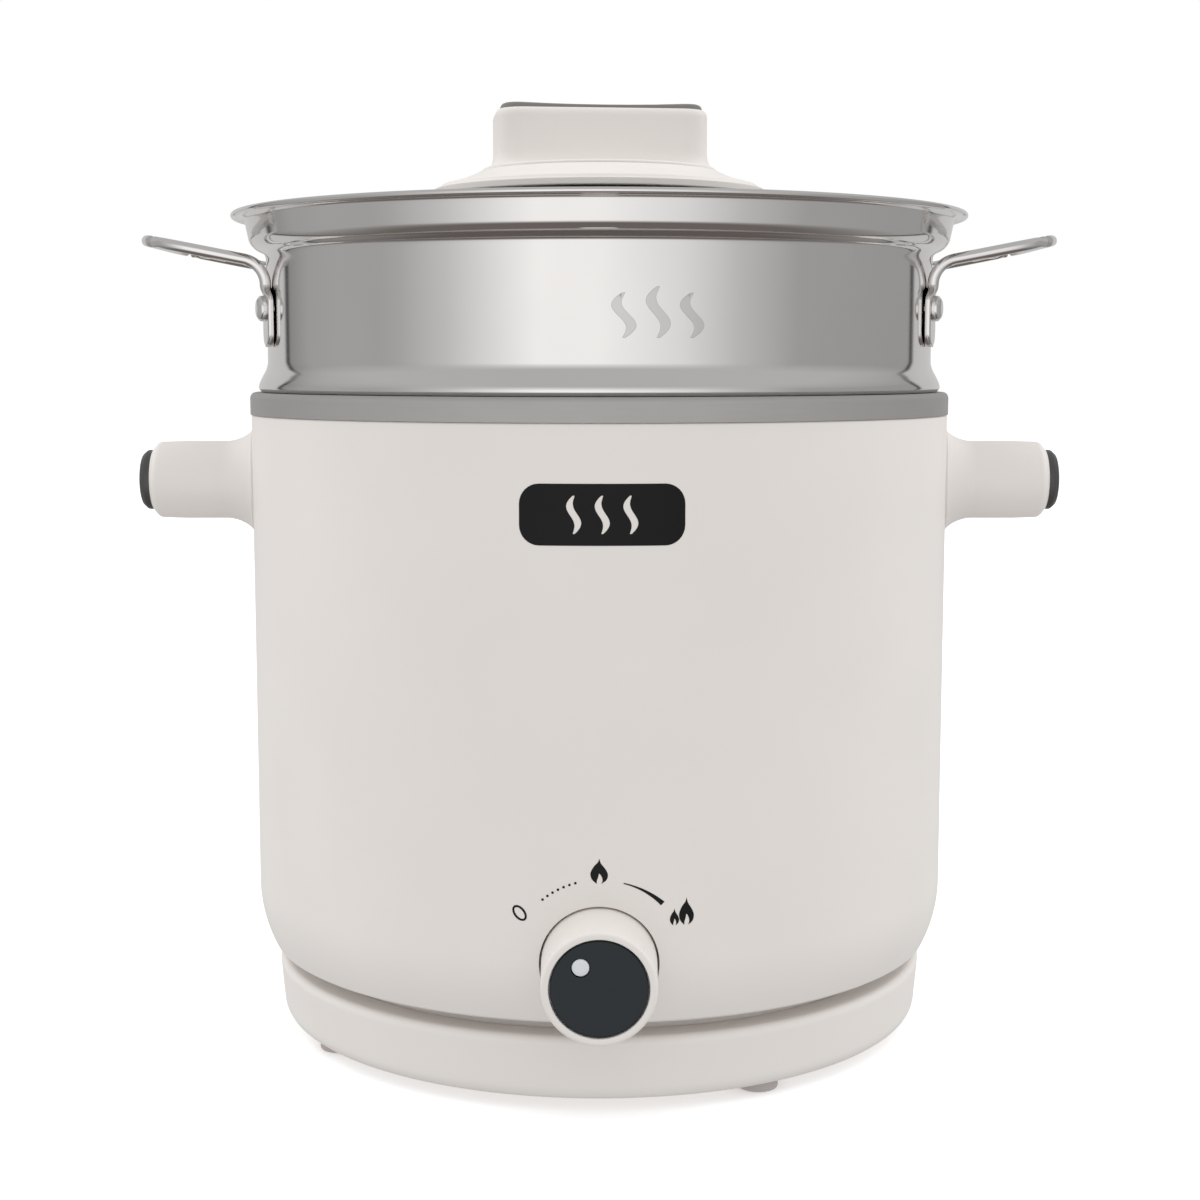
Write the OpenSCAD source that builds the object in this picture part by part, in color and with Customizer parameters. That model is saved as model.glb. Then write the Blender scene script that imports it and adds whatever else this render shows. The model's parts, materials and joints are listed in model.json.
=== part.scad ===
// Electric cooking pot with a lift-out steamer and a glass lid.
// Millimetres, +Z up, front towards -Y, origin on the floor under the pot's axis.

/* [Housing] */
// Outer diameter of the cream housing
body_d = 200; // [190:1:210]
// Thickness of the moulded plastic walls
wall = 2.5; // [2:0.1:3]
// Height of the housing's top edge above the floor
body_top = 176.7; // [170:0.1:185]
// Radius of the big rounding at the housing's lower edge
corner_r = 37; // [34:1:40]

/* [Base] */
// How far the rubber feet stand proud of the base
foot_h = 2.8; // [2:0.1:4]
// Diameter of one foot
foot_d = 11; // [9:0.5:13]
// Height of the base cover
base_h = 17.5; // [16:0.5:19]
// Open groove between the base cover and the housing
base_gap = 4; // [3:0.5:5]

/* [Inner pot] */
// Thickness of the pot's steel
pot_t = 1; // [0.8:0.1:1.2]
// Height of the pot's inside floor above the ground
pot_floor = 62; // [61:0.5:66]
// Height of the steel band that caps the housing
band_h = 6.2; // [5.5:0.1:7]

/* [Steamer] */
// Thickness of the steamer's steel
steamer_t = 0.8; // [0.6:0.1:1]
// Height of the steamer's straight wall
steamer_wall_h = 29.7; // [24:0.1:42]
// Diameter of one steam hole
steam_hole_d = 4; // [3:0.5:5]
// Diameter of the handle wire
wire_d = 3.1; // [2.8:0.1:4]
// Upward slope of the wire handles, in degrees
handle_slope = 11; // [8:0.5:20]

/* [Lid] */
// Thickness of the lid's glass
glass_t = 3.6; // [3:0.1:4]
// Rise of the glass dome from its rim to its crown
dome_rise = 10; // [8:0.5:11]
// Width of the bar-shaped lid knob
knob_w = 60.4; // [54:0.2:64]
// Depth of the bar-shaped lid knob
knob_depth = 28; // [24:1:34]
// Turn of the lid knob on its screw, in degrees
lid_knob_turn = 6; // [0:1:90]

/* [Side handles] */
// Diameter of a side handle
grip_d = 22.5; // [20:0.5:25]
// Height of the side handles' axis above the floor
grip_z = 157.3; // [140:0.1:160]

/* [Control knob] */
// Height of the control knob's axis above the floor
dial_z = 41; // [41:0.5:44]
// Diameter of the knob where it meets the housing
dial_d = 29.4; // [28:0.1:31]
// Distance from the pot's axis to the front of the knob
dial_front = 120; // [118:0.5:124]

/* [Power inlet] */
// Height of the inlet's centre above the floor
inlet_z = 46; // [46:0.5:50]

/* [Hidden] */
$fn = 96;
tiny = 0.1;        // a gap between pieces that only just touch
slack = 0.05;      // running clearance of a shaft or a screw in its hole

// Housing and base
body_r = body_d / 2;
base_z = foot_h;
base_top = base_z + base_h;
under = base_top + base_gap;            // underside of the housing
neck_r = body_r - 14;                   // neck that the base cover closes round
ring_r = body_r - 38;                   // hole in the housing's floor
base_r = body_r - 5.4;
boss_r = body_r - 24;                   // circle of the base screws
foot_circle = body_r - 16;

// Inner pot
pot_r = body_r - 6;
band_r = body_r + 0.3;
band_top = body_top + band_h;
pot_under = pot_floor - pot_t;
stud_r = body_r - 44;
plate_r = body_r - 50;
plate_h = 6;
plate_under = pot_under - plate_h;
element_r = 38;
element_tube = 3.3;
element_z = plate_under - 1.5;
element_gap = 40;                       // opening of the heating element's ring, in degrees
element_end = element_gap / 2;

// Steamer
steam_r = body_r - 4.9;
nest_r = pot_r - pot_t - 1.1;
nest_z = band_top - 11.7;
step_z = band_top + tiny;
wall_z = band_top + 8.1;
wall_top = wall_z + steamer_wall_h;
belt_r = body_r;
lip_r = 0.8;
lip_z = wall_top + 11.4;
rivet_z = wall_z + 15;
rivet_angle = 18.9;
plate_t = 1.8;
plate_w = 9;
loop_half = 31;                         // half the distance between a handle's two legs
loop_tip = body_r + 28;
loop_corner = 14;
loop_bend = 7;
leg_gap = 0.1;                          // clearance between a handle's legs and the wall

// Lid
glass_r = body_r - 5.5;
crown = lip_z + 7.6;
dome_r = (glass_r * glass_r + dome_rise * dome_rise) / (2 * dome_rise);
dome_c = crown - dome_r;
rim_z = crown - dome_rise;              // top of the glass at its rim
ledge_z = wall_top + 2.75;              // underside of the lid, resting on the steamer's ledge
foot_r = 47.4;
foot_z = crown - 0.5;
knob_z = crown + 5.6;
knob_top = knob_z + 17.1;
insert_top = knob_top + 1.8;
vent_r = 62;

// Control knob and thermostat
seat_y = body_r - 5.2;                  // flat floor of the knob's pocket
seat_back = seat_y - 3;
dial_back = seat_y + 0.5;
shaft_r = 3;
bush_r = 5;
nut_h = 3;
bush_end = seat_y + 4.2;
hub_z = bush_end + 2;
web_y = dial_front - 4;
cap_r = 12;
pointer_r = 2.15;
pointer_out = 7;
pointer_angle = 40;
stat_w = 34;
stat_h = 24;
stat_back = seat_back - 19.8;

// Power inlet
pad_y = body_r + 1.5;
flange_t = 2.5;
inlet_front = dial_front;
inlet_in = body_r - 16;
cavity_w = 24.6;
cavity_h = 17;
cavity_floor = body_r + 0.5;
pin_tip = cavity_floor + 14;
pin_pitch = 7;

wire_r = 1.2;

function polar(r, a) = [r * cos(a), r * sin(a)];
function arc(c, r, a0, a1, n) = [for (i = [0:n]) c + polar(r, a0 + (a1 - a0) * i / n)];
function backwards(p) = [for (i = [len(p) - 1:-1:0]) p[i]];
function left_of(d) = [-d[1], d[0]] / norm(d);
function edge(p, i) = p[min(i + 1, len(p) - 1)] - p[min(i, len(p) - 2)];
function beside(p, i, t) =
    let (m = left_of(edge(p, max(i - 1, 0))) + left_of(edge(p, i)))
    p[i] + m * 2 * t / (m * m);
function dome_z(r, drop = 0) = dome_c + sqrt(pow(dome_r - drop, 2) - r * r);

// Solid of revolution of a closed outline.
module turned(outline) {
    rotate_extrude($fn = 128) polygon(outline);
}

// Solid of revolution of a sheet of thickness t on the left of an open path.
module spun(path, t) {
    turned(concat(path, backwards([for (i = [0:len(path) - 1]) beside(path, i, t)])));
}

module ring(r_out, r_in, z, h) {
    translate([0, 0, z]) difference() {
        cylinder(r = r_out, h = h);
        translate([0, 0, -1]) cylinder(r = r_in, h = h + 2);
    }
}

module at_polar(r, a, z = 0) {
    rotate([0, 0, a]) translate([r, 0, z]) children();
}

// Cylinder along Y from y0 to y1, through (x, z).
module y_rod(r, y0, y1, x = 0, z = 0) {
    translate([x, y1, z]) rotate([90, 0, 0]) cylinder(r = r, h = y1 - y0);
}

// Cylinder along X from x0 to x1, through (y, z).
module x_rod(r, x0, x1, y = 0, z = 0) {
    translate([x0, y, z]) rotate([0, 90, 0]) cylinder(r = r, h = x1 - x0);
}

module block(x0, x1, y0, y1, z0, z1) {
    translate([x0, y0, z0]) cube([x1 - x0, y1 - y0, z1 - z0]);
}

// Flat rectangle with round corners, centred.
module round_rect(w, d, r) {
    square([w - 2 * r, d], center = true);
    square([w, d - 2 * r], center = true);
    for (x = [-1, 1], y = [-1, 1])
        translate([x * (w / 2 - r), y * (d / 2 - r)]) circle(r = r, $fn = 48);
}

// Round rod from a to b.
module rod(a, b, r) {
    d = b - a;
    translate(a) rotate([0, acos(d[2] / norm(d)), atan2(d[1], d[0])])
        cylinder(r = r, h = norm(d), $fn = 32);
}

// Insulated wire through a list of points.
module wire_run(points) {
    for (i = [0:len(points) - 2]) rod(points[i], points[i + 1], wire_r);
    for (i = [1:len(points) - 2]) translate(points[i]) sphere(r = wire_r * 1.06, $fn = 32);
}

// ---- Housing ----

housing_edge = arc([body_r - corner_r, under + 17.7], corner_r, -27, 0, 8);
housing_liner = arc([body_r - corner_r, under + 17.7], corner_r - wall, 0, -26.1, 8);
housing_outline = concat(
    [[ring_r, under], [neck_r - wall, under], [neck_r - wall, base_top - 5.3], [neck_r, base_top - 5.3],
     [neck_r, under], [body_r - 5.6, under]],
    housing_edge,
    [[body_r, body_top - 0.5], [body_r - 0.5, body_top], [body_r - wall, body_top]],
    housing_liner,
    [[ring_r, under + wall]]
);

module housing_envelope() {
    turned(concat([[0, under], [body_r - 5.6, under]], housing_edge, [[body_r, body_top], [0, body_top]]));
}

module outer_housing() color([0.93, 0.91, 0.89]) difference() {
    union() {
        turned(housing_outline);
        intersection() {
            housing_envelope();
            y_rod(19, -body_r - 1, -seat_back, 0, dial_z);
        }
        for (i = [0:3]) at_polar(boss_r, 45 + 90 * i, under + wall - tiny) cylinder(r = 4, h = 11);
        block(-27, 27, body_r - 9, pad_y, inlet_z - 15, inlet_z + 15);
    }
    y_rod(dial_d / 2 + 0.5, -body_r - 2, -seat_y, 0, dial_z);
    y_rod(bush_r + 0.2, -body_r, -seat_back + 2, 0, dial_z);
    for (i = [0:3]) at_polar(boss_r, 45 + 90 * i, under - 1) cylinder(r = 1.5 + slack, h = 11);
    block(-14.1, 14.1, body_r - 12, pad_y + 1, inlet_z - 10.3, inlet_z + 10.3);
    for (x = [-20, 20]) y_rod(1.5 + slack, body_r - 6, pad_y + 1, x, inlet_z);
    for (s = [0, 180], z = [-5.5, 5.5])
        rotate([0, 0, s]) x_rod(1.7, body_r - 5, body_r + 1, 0, grip_z + z);
}

// ---- Base ----

module base_cover() color([0.93, 0.91, 0.89]) difference() {
    union() {
        turned(concat(
            [[0, base_z], [base_r - 5.6, base_z]],
            arc([base_r - 5.6, base_z + 4], 4, -80, -8, 6),
            [[base_r, base_top - 0.6], [base_r - 0.6, base_top], [neck_r + 0.3, base_top],
             [neck_r + 0.3, base_top - wall], [base_r - 2.9, base_top - wall],
             [base_r - 4.3, base_z + 4], [base_r - 6, base_z + wall], [0, base_z + wall]]
        ));
        for (i = [0:3]) at_polar(boss_r, 45 + 90 * i, base_z + wall - tiny)
            cylinder(r = 4, h = under - base_z - wall + tiny);
    }
    for (i = [0:3]) at_polar(boss_r, 45 + 90 * i, base_z - 1) {
        cylinder(r = 3.2, h = 12);
        cylinder(r = 1.5 + slack, h = 40);
    }
    for (i = [0:3]) at_polar(foot_circle, 30 + 90 * i, base_z - 1) cylinder(r = 2 + slack, h = 10);
    for (i = [0:11]) rotate([0, 0, 30 * i]) translate([34, -1.5, base_z - 1]) cube([16, 3, 10]);
}

module foot(i) color([0.69, 0.66, 0.65]) at_polar(foot_circle, 30 + 90 * i) {
    turned_foot = [
        [0, 0], [foot_d / 2 - 0.6, 0], [foot_d / 2, 0.6], [foot_d / 2, foot_h], [2, foot_h],
        [2, foot_h + wall + 0.1], [2.6, foot_h + wall + 0.3], [1.6, foot_h + wall + 1.8],
        [0, foot_h + wall + 1.8]
    ];
    turned(turned_foot);
}

module base_screws() color("silver")
    for (i = [0:3]) at_polar(boss_r, 45 + 90 * i, base_z + 11) {
        translate([0, 0, -2.2]) cylinder(r = 3, h = 2.2);
        cylinder(r = 1.5, h = 18);
    }

// ---- Inner pot and its clamp ----

// The wall is one sheet: floor, bottom corner, wall, flared mouth, band over the housing.
pot_path = concat(
    [[0, pot_under], [pot_r - 8, pot_under]],
    arc([pot_r - 8, pot_under + 8], 8, -75, 0, 5),
    arc([pot_r + 1.6, band_top - pot_t - 1.6], 1.6, 180, 90, 3),
    arc([band_r - 1.6, band_top - 1.6], 1.6 - pot_t, 90, 0, 3),
    [[band_r - pot_t, body_top]]
);

module inner_pot() color("silver") spun(pot_path, pot_t);

module rim_seal() color([0.85, 0.85, 0.85])
    turned([
        [pot_r + 0.4, body_top - 5], [body_r - wall - 0.1, body_top - 5], [body_r - wall - 0.1, body_top],
        [band_r - pot_t - 0.1, body_top + 0.02], [band_r - pot_t - 0.1, band_top - pot_t - 1.2],
        [band_r - 2.2, band_top - pot_t - 0.1], [pot_r + 2.2, band_top - pot_t - 0.1],
        [pot_r + 0.4, band_top - pot_t - 2.6]
    ]);

module pot_studs() color("silver")
    for (a = [90, 210, 330]) at_polar(stud_r, a, base_top - 3.5)
        cylinder(r = 2, h = pot_under - base_top + 3.5);

module clamp_ring() color("gray") difference() {
    ring(body_r - 29, plate_r, under - 1.2, 1.2);
    for (a = [90, 210, 330]) at_polar(stud_r, a, under - 2) cylinder(r = 2.3, h = 4);
}

module clamp_nuts() color("silver")
    for (a = [90, 210, 330]) at_polar(stud_r, a, under - 4.4) difference() {
        cylinder(r = 4, h = 3.2, $fn = 6);
        translate([0, 0, -1]) cylinder(r = 2 + slack, h = 6);
    }

// ---- Heater ----

module heating_plate() color("darkgray") difference() {
    translate([0, 0, plate_under]) cylinder(r = plate_r, h = plate_h);
    translate([0, 0, element_z]) rotate_extrude()
        translate([element_r, 0]) circle(r = element_tube + 0.15, $fn = 48);
    for (x = [-24, 24]) translate([x, 0, plate_under - 1]) cylinder(r = 1.25 + slack, h = 5);
}

module heating_element() color("dimgray") {
    translate([0, 0, element_z]) rotate([0, 0, 90 + element_end])
        rotate_extrude(angle = 360 - element_gap) translate([element_r, 0])
            circle(r = element_tube, $fn = 48);
    for (s = [-1, 1]) at_polar(element_r, 90 + s * element_end, element_z) {
        sphere(r = element_tube + 0.06, $fn = 48);
        translate([0, 0, -10]) cylinder(r = element_tube, h = 10, $fn = 48);
    }
}

module element_insulators() color("white")
    for (s = [-1, 1]) at_polar(element_r, 90 + s * element_end, element_z - 13) difference() {
        cylinder(r = 3.6, h = 3);
        translate([0, 0, -1]) cylinder(r = 1.3 + slack, h = 6);
    }

module element_pins() color("silver")
    for (s = [-1, 1]) at_polar(element_r, 90 + s * element_end, element_z - 17) cylinder(r = 1.3, h = 7);

module thermal_cutout() color("black") {
    translate([0, 0, plate_under - 7]) cylinder(r = 8, h = 7);
    for (s = [-1, 1]) block(s * 5 - 0.4, s * 5 + 0.4, -3, 3, plate_under - 15, plate_under - 7 + tiny);
}

module cutout_bracket() color("silver") difference() {
    union() {
        for (s = [-1, 1]) {
            block(s * 24 - 5, s * 24 + 5, -5, 5, plate_under - 0.8, plate_under);
            block(s * 18.6 - 0.4, s * 18.6 + 0.4, -5, 5, plate_under - 8, plate_under);
        }
        block(-19, 19, -5, 5, plate_under - 7.8, plate_under - 7);
    }
    for (x = [-24, 24]) translate([x, 0, plate_under - 5]) cylinder(r = 1.5, h = 8);
    for (s = [-1, 1]) block(s * 5 - 1, s * 5 + 1, -4, 4, plate_under - 9, plate_under - 6);
}

module cutout_screws() color("silver")
    for (x = [-24, 24]) translate([x, 0, plate_under - 2.6]) {
        cylinder(r = 2.5, h = 1.8);
        cylinder(r = 1.25, h = 6);
    }

// ---- Thermostat ----

module thermostat() color("ivory") difference() {
    union() {
        block(-stat_w / 2, stat_w / 2, -seat_back, -stat_back, dial_z - stat_h / 2, dial_z + stat_h / 2);
        y_rod(bush_r, -bush_end, -seat_back + 1, 0, dial_z);
    }
    y_rod(shaft_r + slack, -bush_end - 1, -seat_back + 12, 0, dial_z);
}

module thermostat_nut() color("silver") difference() {
    translate([0, -seat_y, dial_z]) rotate([90, 0, 0]) cylinder(r = 8, h = nut_h, $fn = 6);
    y_rod(bush_r + slack, -seat_y - nut_h - 1, -seat_y + 1, 0, dial_z);
}

module thermostat_terminals() color("gold")
    for (s = [-1, 1])
        block(s * 8 - 3.15, s * 8 + 3.15, -stat_back, -stat_back + 8, dial_z - 0.4, dial_z + 0.4);

// ---- Power inlet ----

module inlet_tube(w, h, y0, y1, r) {
    translate([0, y1, inlet_z]) rotate([90, 0, 0]) linear_extrude(y1 - y0) round_rect(w, h, r);
}

module power_inlet() color([0.13, 0.13, 0.14]) difference() {
    union() {
        inlet_tube(cavity_w + 6.4, cavity_h + 6.4, pad_y, inlet_front, 3);
        inlet_tube(50, 27, pad_y, pad_y + flange_t, 4);
        inlet_tube(28, 20.4, inlet_in, pad_y + 1, 2);
    }
    inlet_tube(cavity_w, cavity_h, cavity_floor, inlet_front + 1, 2.5);
    for (x = [-20, 20]) y_rod(1.5 + slack, pad_y - 1, pad_y + 4, x, inlet_z);
    for (x = [-1, 0, 1]) inlet_pin_slot(x);
}

module inlet_pin_slot(x) {
    z = inlet_z + (x == 0 ? 2.5 : -1.5);
    block(x * pin_pitch - 1, x * pin_pitch + 1, inlet_in - 1, cavity_floor + 1, z - 2, z + 2);
}

module inlet_pins() color("silver")
    for (x = [-1, 0, 1]) {
        z = inlet_z + (x == 0 ? 2.5 : -1.5);
        block(x * pin_pitch - 1, x * pin_pitch + 1, inlet_in - 6, pin_tip, z - 2, z + 2);
    }

module inlet_screws() color("silver")
    for (x = [-20, 20]) {
        y_rod(1.5, body_r - 3, pad_y + flange_t, x, inlet_z);
        y_rod(2.8, pad_y + flange_t, pad_y + flange_t + 1.8, x, inlet_z);
    }

// ---- Wiring ----

pin_back = inlet_in - 6 - wire_r - tiny;
low_wire = base_top + 12;
element_pin_x = element_r * cos(90 - element_end);
element_pin_y = element_r * sin(90 - element_end);
element_pin_z = element_z - 17 - tiny;
stat_pin_y = -stat_back + 8 + wire_r + tiny;
cutout_pin = plate_under - 11;

live_points = [
    [-pin_pitch, pin_back, inlet_z - 1.5], [-22, 62, low_wire + 3], [-22, -42, low_wire],
    [-8, stat_pin_y, dial_z]
];

module lead_live() color("brown") wire_run(live_points);

module lead_switched() color("black")
    wire_run([[8, stat_pin_y, dial_z], [15, -40, low_wire], [element_pin_x, element_pin_y, low_wire - 2],
              [element_pin_x, element_pin_y, element_pin_z]]);

module lead_neutral() color("blue")
    wire_run([[pin_pitch, pin_back, inlet_z - 1.5], [26, 60, low_wire + 2], [26, 12, low_wire + 4],
              [5.6 + wire_r, 0, cutout_pin]]);

module lead_return() color("blue")
    wire_run([[-5.6 - wire_r, 0, cutout_pin], [-14, 12, low_wire + 4],
              [-element_pin_x, element_pin_y, low_wire - 2], [-element_pin_x, element_pin_y, element_pin_z]]);

module lead_earth() color("green")
    wire_run([[0, pin_back, inlet_z + 2.5], [18, 70, pot_under - 7], [20, 65, pot_under - 0.9 - wire_r]]);

module earth_tag() color("silver") block(16, 24, 58, 69, pot_under - 0.8, pot_under);

// A sleeved fuse threaded on the live wire.
module thermal_fuse() color("white") {
    a = live_points[1];
    d = (live_points[2] - a) / norm(live_points[2] - a);
    difference() {
        rod(a + d * 40, a + d * 54, 2.6);
        rod(a + d * 39, a + d * 55, wire_r + slack);
    }
}

// ---- Side handles ----

grip_r = grip_d / 2;
grip_end = body_r + 30;
cap_end = body_r + 33.1;

// Solid of revolution about X, from an outline of [radius, distance along X].
module turned_x(outline) {
    translate([0, 0, grip_z]) rotate([0, 90, 0]) turned(outline);
}

module side_handle(s) color([0.93, 0.91, 0.89]) rotate([0, 0, s]) difference() {
    turned_x(concat(
        [[0, body_r - 4], [grip_r + 3.5, body_r - 4], [grip_r + 3.5, body_r + 0.4]],
        arc([grip_r + 9, body_r + 8.7], 9, 238, 180, 6),
        [[grip_r, grip_end - 5], [grip_r - 0.4, grip_end - 2.6], [grip_r - 1.4, grip_end - 0.7],
         [grip_r - 2.6, grip_end], [0, grip_end]]
    ));
    cylinder(r = body_r + 0.02, h = body_top, $fn = 128);
    for (z = [-5.5, 5.5]) x_rod(1.5 + slack, body_r - 5, body_r + 16, 0, grip_z + z);
    x_rod(3 + slack, grip_end - 9, grip_end + 1, 0, grip_z);
}

module handle_cap(s) color([0.33, 0.33, 0.33]) rotate([0, 0, s])
    turned_x([
        [0, grip_end - 8], [3, grip_end - 8], [3, grip_end], [8.65, grip_end], [8.65, grip_end + 1],
        [8.1, grip_end + 2.2], [6.9, cap_end], [0, cap_end]
    ]);

module handle_screws() color("silver")
    for (s = [0, 180], z = [-5.5, 5.5]) rotate([0, 0, s]) {
        x_rod(3, body_r - 4.8, body_r - wall - 0.1, 0, grip_z + z);
        x_rod(1.5, body_r - wall - 0.1, body_r + 12, 0, grip_z + z);
    }

// ---- Control knob ----

// Solid of revolution about the knob's axis, from an outline of [radius, distance in front].
module turned_dial(outline) {
    translate([0, 0, dial_z]) rotate([90, 0, 0]) turned(outline);
}

module knob_sleeve() color([0.93, 0.91, 0.89]) difference() {
    turned_dial([
        [0, hub_z], [5.6, hub_z], [5.6, web_y], [cap_r + 0.2, web_y], [cap_r + 0.6, dial_back],
        [dial_d / 2, dial_back], [dial_d / 2 - 0.25, dial_front - 1], [dial_d / 2 - 1, dial_front],
        [cap_r + 0.3, dial_front], [cap_r + 0.2, dial_front - 2], [0, dial_front - 2]
    ]);
    intersection() {
        y_rod(shaft_r + 0.02, -dial_front + 5, -hub_z + 1, 0, dial_z);
        block(-9, 9, -dial_front, -hub_z + 2, dial_z - 9, dial_z + 2.5);
    }
}

module knob_cap() color([0.17, 0.19, 0.2]) difference() {
    turned_dial([
        [0, dial_front - 2], [cap_r, dial_front - 2], [cap_r, dial_front - 0.7],
        [cap_r - 0.3, dial_front - 0.4], [0, dial_front - 0.4]
    ]);
    pointer_rod(pointer_r + slack, dial_front - 1.4);
}

module pointer_rod(r, from) {
    y_rod(r, -dial_front, -from,
        -pointer_out * sin(pointer_angle), dial_z + pointer_out * cos(pointer_angle));
}

module knob_pointer() color([0.85, 0.86, 0.87]) difference() {
    pointer_rod(pointer_r, dial_front - 1.4);
    block(-dial_d, dial_d, -dial_front - 1, -dial_front + 0.25, 0, dial_z + dial_d);
}

module thermostat_shaft() color("silver") difference() {
    y_rod(shaft_r, -dial_front + 6, -seat_back + 11.5, 0, dial_z);
    block(-5, 5, -dial_front, -hub_z, dial_z + 2, dial_z + 5);
}

module knob_clip() color("silver")
    block(-1.6, 1.6, -dial_front + 7, -hub_z - 0.5, dial_z + 2.04, dial_z + 2.46);

// ---- Steamer ----

steamer_path = concat(
    [[0, nest_z], [nest_r - 4, nest_z]],
    arc([nest_r - 4, nest_z + 4], 4, -70, 0, 4),
    [[nest_r, step_z], [steam_r + 1.6, step_z]],
    arc([steam_r + 1.3, step_z + 1.5], 1.5, -60, 0, 3),
    [[steam_r + 2.4, wall_z - 6], [steam_r + 2, wall_z - 4.4], [steam_r + 1.4, wall_z - 3.4],
     [steam_r + 0.6, wall_z - 1.8], [steam_r, wall_z], [steam_r, wall_top - 2.7], [steam_r + 0.2, wall_top],
     [steam_r + 0.9, wall_top + 1.2], [steam_r + 3, wall_top + 2.2], [steam_r + 4.6, wall_top + 4],
     [belt_r + 0.2, wall_top + 5.8], [belt_r + 1, wall_top + 9.6], [belt_r + 1.4, wall_top + 10.4],
     [belt_r + 2.2, wall_top + 10.9], [belt_r + 4, wall_top + 11.05]]
);

module steamer_body() color("silver") difference() {
    union() {
        spun(steamer_path, steamer_t);
        translate([0, 0, lip_z]) rotate_extrude($fn = 128)
            translate([belt_r + 4.8 - lip_r, 0]) circle(r = lip_r, $fn = 32);
    }
    translate([0, 0, nest_z - 1]) cylinder(r = steam_hole_d / 2, h = 3, $fn = 24);
    for (k = [1:6], i = [0:6 * k - 1]) at_polar(13 * k, 60 * i / k, nest_z - 1)
        cylinder(r = steam_hole_d / 2, h = 3, $fn = 24);
    for (s = [0, 180], a = [-rivet_angle, rivet_angle])
        rotate([0, 0, s + a]) x_rod(2 + slack, steam_r - 3, steam_r + 2, 0, rivet_z);
}

loop_x = sqrt(pow(steam_r + wire_d / 2 + leg_gap, 2) - loop_half * loop_half);
loop_reach = loop_bend * tan((90 - handle_slope) / 2);
loop_z = rivet_z + 12.3;                // where the lines of the upright and the slope would meet
loop_len = (loop_tip - wire_d / 2 - loop_x) / cos(handle_slope);

module wire_end() {
    sphere(r = wire_d / 2 + slack, $fn = 32);
}

// Arc of the wire, of the given radius, from one angle on over a sweep.
module wire_arc(r, from, sweep) {
    rotate_extrude(angle = sweep, start = from) translate([r, 0]) circle(r = wire_d / 2, $fn = 32);
    for (a = [from, from + sweep]) rotate([0, 0, a]) translate([r, 0, 0]) wire_end();
}

module steamer_handle(s) color("silver") rotate([0, 0, s]) {
    for (m = [-1, 1]) {
        rotate([0, 0, m * rivet_angle]) difference() {
            translate([steam_r + tiny, -plate_w / 2, rivet_z - 10.5]) cube([plate_t, plate_w, 16]);
            x_rod(2 + slack, steam_r - 3, steam_r + 5, 0, rivet_z);
        }
        translate([loop_x, m * loop_half, rivet_z + 4])
            cylinder(r = wire_d / 2, h = loop_z - loop_reach - rivet_z - 4, $fn = 32);
        translate([loop_x + loop_bend, m * loop_half, loop_z - loop_reach]) rotate([90, 0, 0])
            wire_arc(loop_bend, 90 + handle_slope, 90 - handle_slope);
    }
    translate([loop_x, 0, loop_z]) rotate([0, -handle_slope, 0]) {
        for (m = [-1, 1]) {
            x_rod(wire_d / 2, loop_reach, loop_len - loop_corner, m * loop_half, 0);
            translate([loop_len - loop_corner, m * (loop_half - loop_corner), 0])
                wire_arc(loop_corner, m * 45 - 45, 90);
        }
        y_rod(wire_d / 2, -loop_half + loop_corner, loop_half - loop_corner, loop_len, 0);
    }
}

module steamer_rivets() color("silver")
    for (s = [0, 180], a = [-rivet_angle, rivet_angle]) rotate([0, 0, s + a])
        translate([0, 0, rivet_z]) rotate([0, 90, 0]) turned([
            [0, steam_r - 2.4], [3, steam_r - 2.4], [3.5, steam_r - 1.9], [3.5, steam_r - 1.2],
            [2, steam_r - 1.2], [2, steam_r + plate_t + 0.1], [3.5, steam_r + plate_t + 0.1],
            [3.5, steam_r + 2.7], [2.9, steam_r + 3.6], [1.7, steam_r + 4.2], [0, steam_r + 4.4]
        ]);

// ---- Lid ----

module vent_axis() {
    translate([0, 0, dome_c]) rotate([0, 0, 115]) rotate([0, asin(vent_r / dome_r), 0]) children();
}

module lid_glass() color([0.8, 0.9, 0.9, 0.4]) difference() {
    intersection() {
        translate([0, 0, dome_c]) sphere(r = dome_r, $fn = 256);
        translate([0, 0, rim_z - 20]) cylinder(r = glass_r, h = 60);
    }
    translate([0, 0, dome_c]) sphere(r = dome_r - glass_t, $fn = 256);
    translate([0, 0, rim_z]) cylinder(r = 4, h = 20);
    vent_axis() translate([0, 0, dome_r - 10]) cylinder(r = 3, h = 20);
}

module lid_rim() color("silver")
    turned([
        [glass_r - 2, rim_z + 0.55], [glass_r + 0.1, rim_z + 0.15], [glass_r + 0.1, rim_z - glass_t - 0.1],
        [glass_r - 2, rim_z - glass_t + 0.25], [glass_r - 2, rim_z - glass_t - 0.35],
        [glass_r + 0.9, rim_z - glass_t - 0.35], [glass_r + 0.9, ledge_z], [glass_r + 2.2, ledge_z],
        [glass_r + 3, ledge_z + 0.7], [glass_r + 3.4, ledge_z + 1.6],
        [glass_r + 3.4, rim_z + 0.5], [glass_r + 2.7, rim_z + 1.1], [glass_r - 2, rim_z + 1.15]
    ]);

module lid_vent() color("silver") vent_axis() difference() {
    union() {
        translate([0, 0, dome_r - glass_t - 0.8]) cylinder(r = 2.95, h = glass_t + 1.4);
        translate([0, 0, dome_r]) cylinder(r = 5, h = 0.8);
        translate([0, 0, dome_r - glass_t - 0.85]) cylinder(r = 5, h = 0.8);
    }
    translate([0, 0, dome_r - 10]) cylinder(r = 1.5, h = 20);
}

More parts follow.
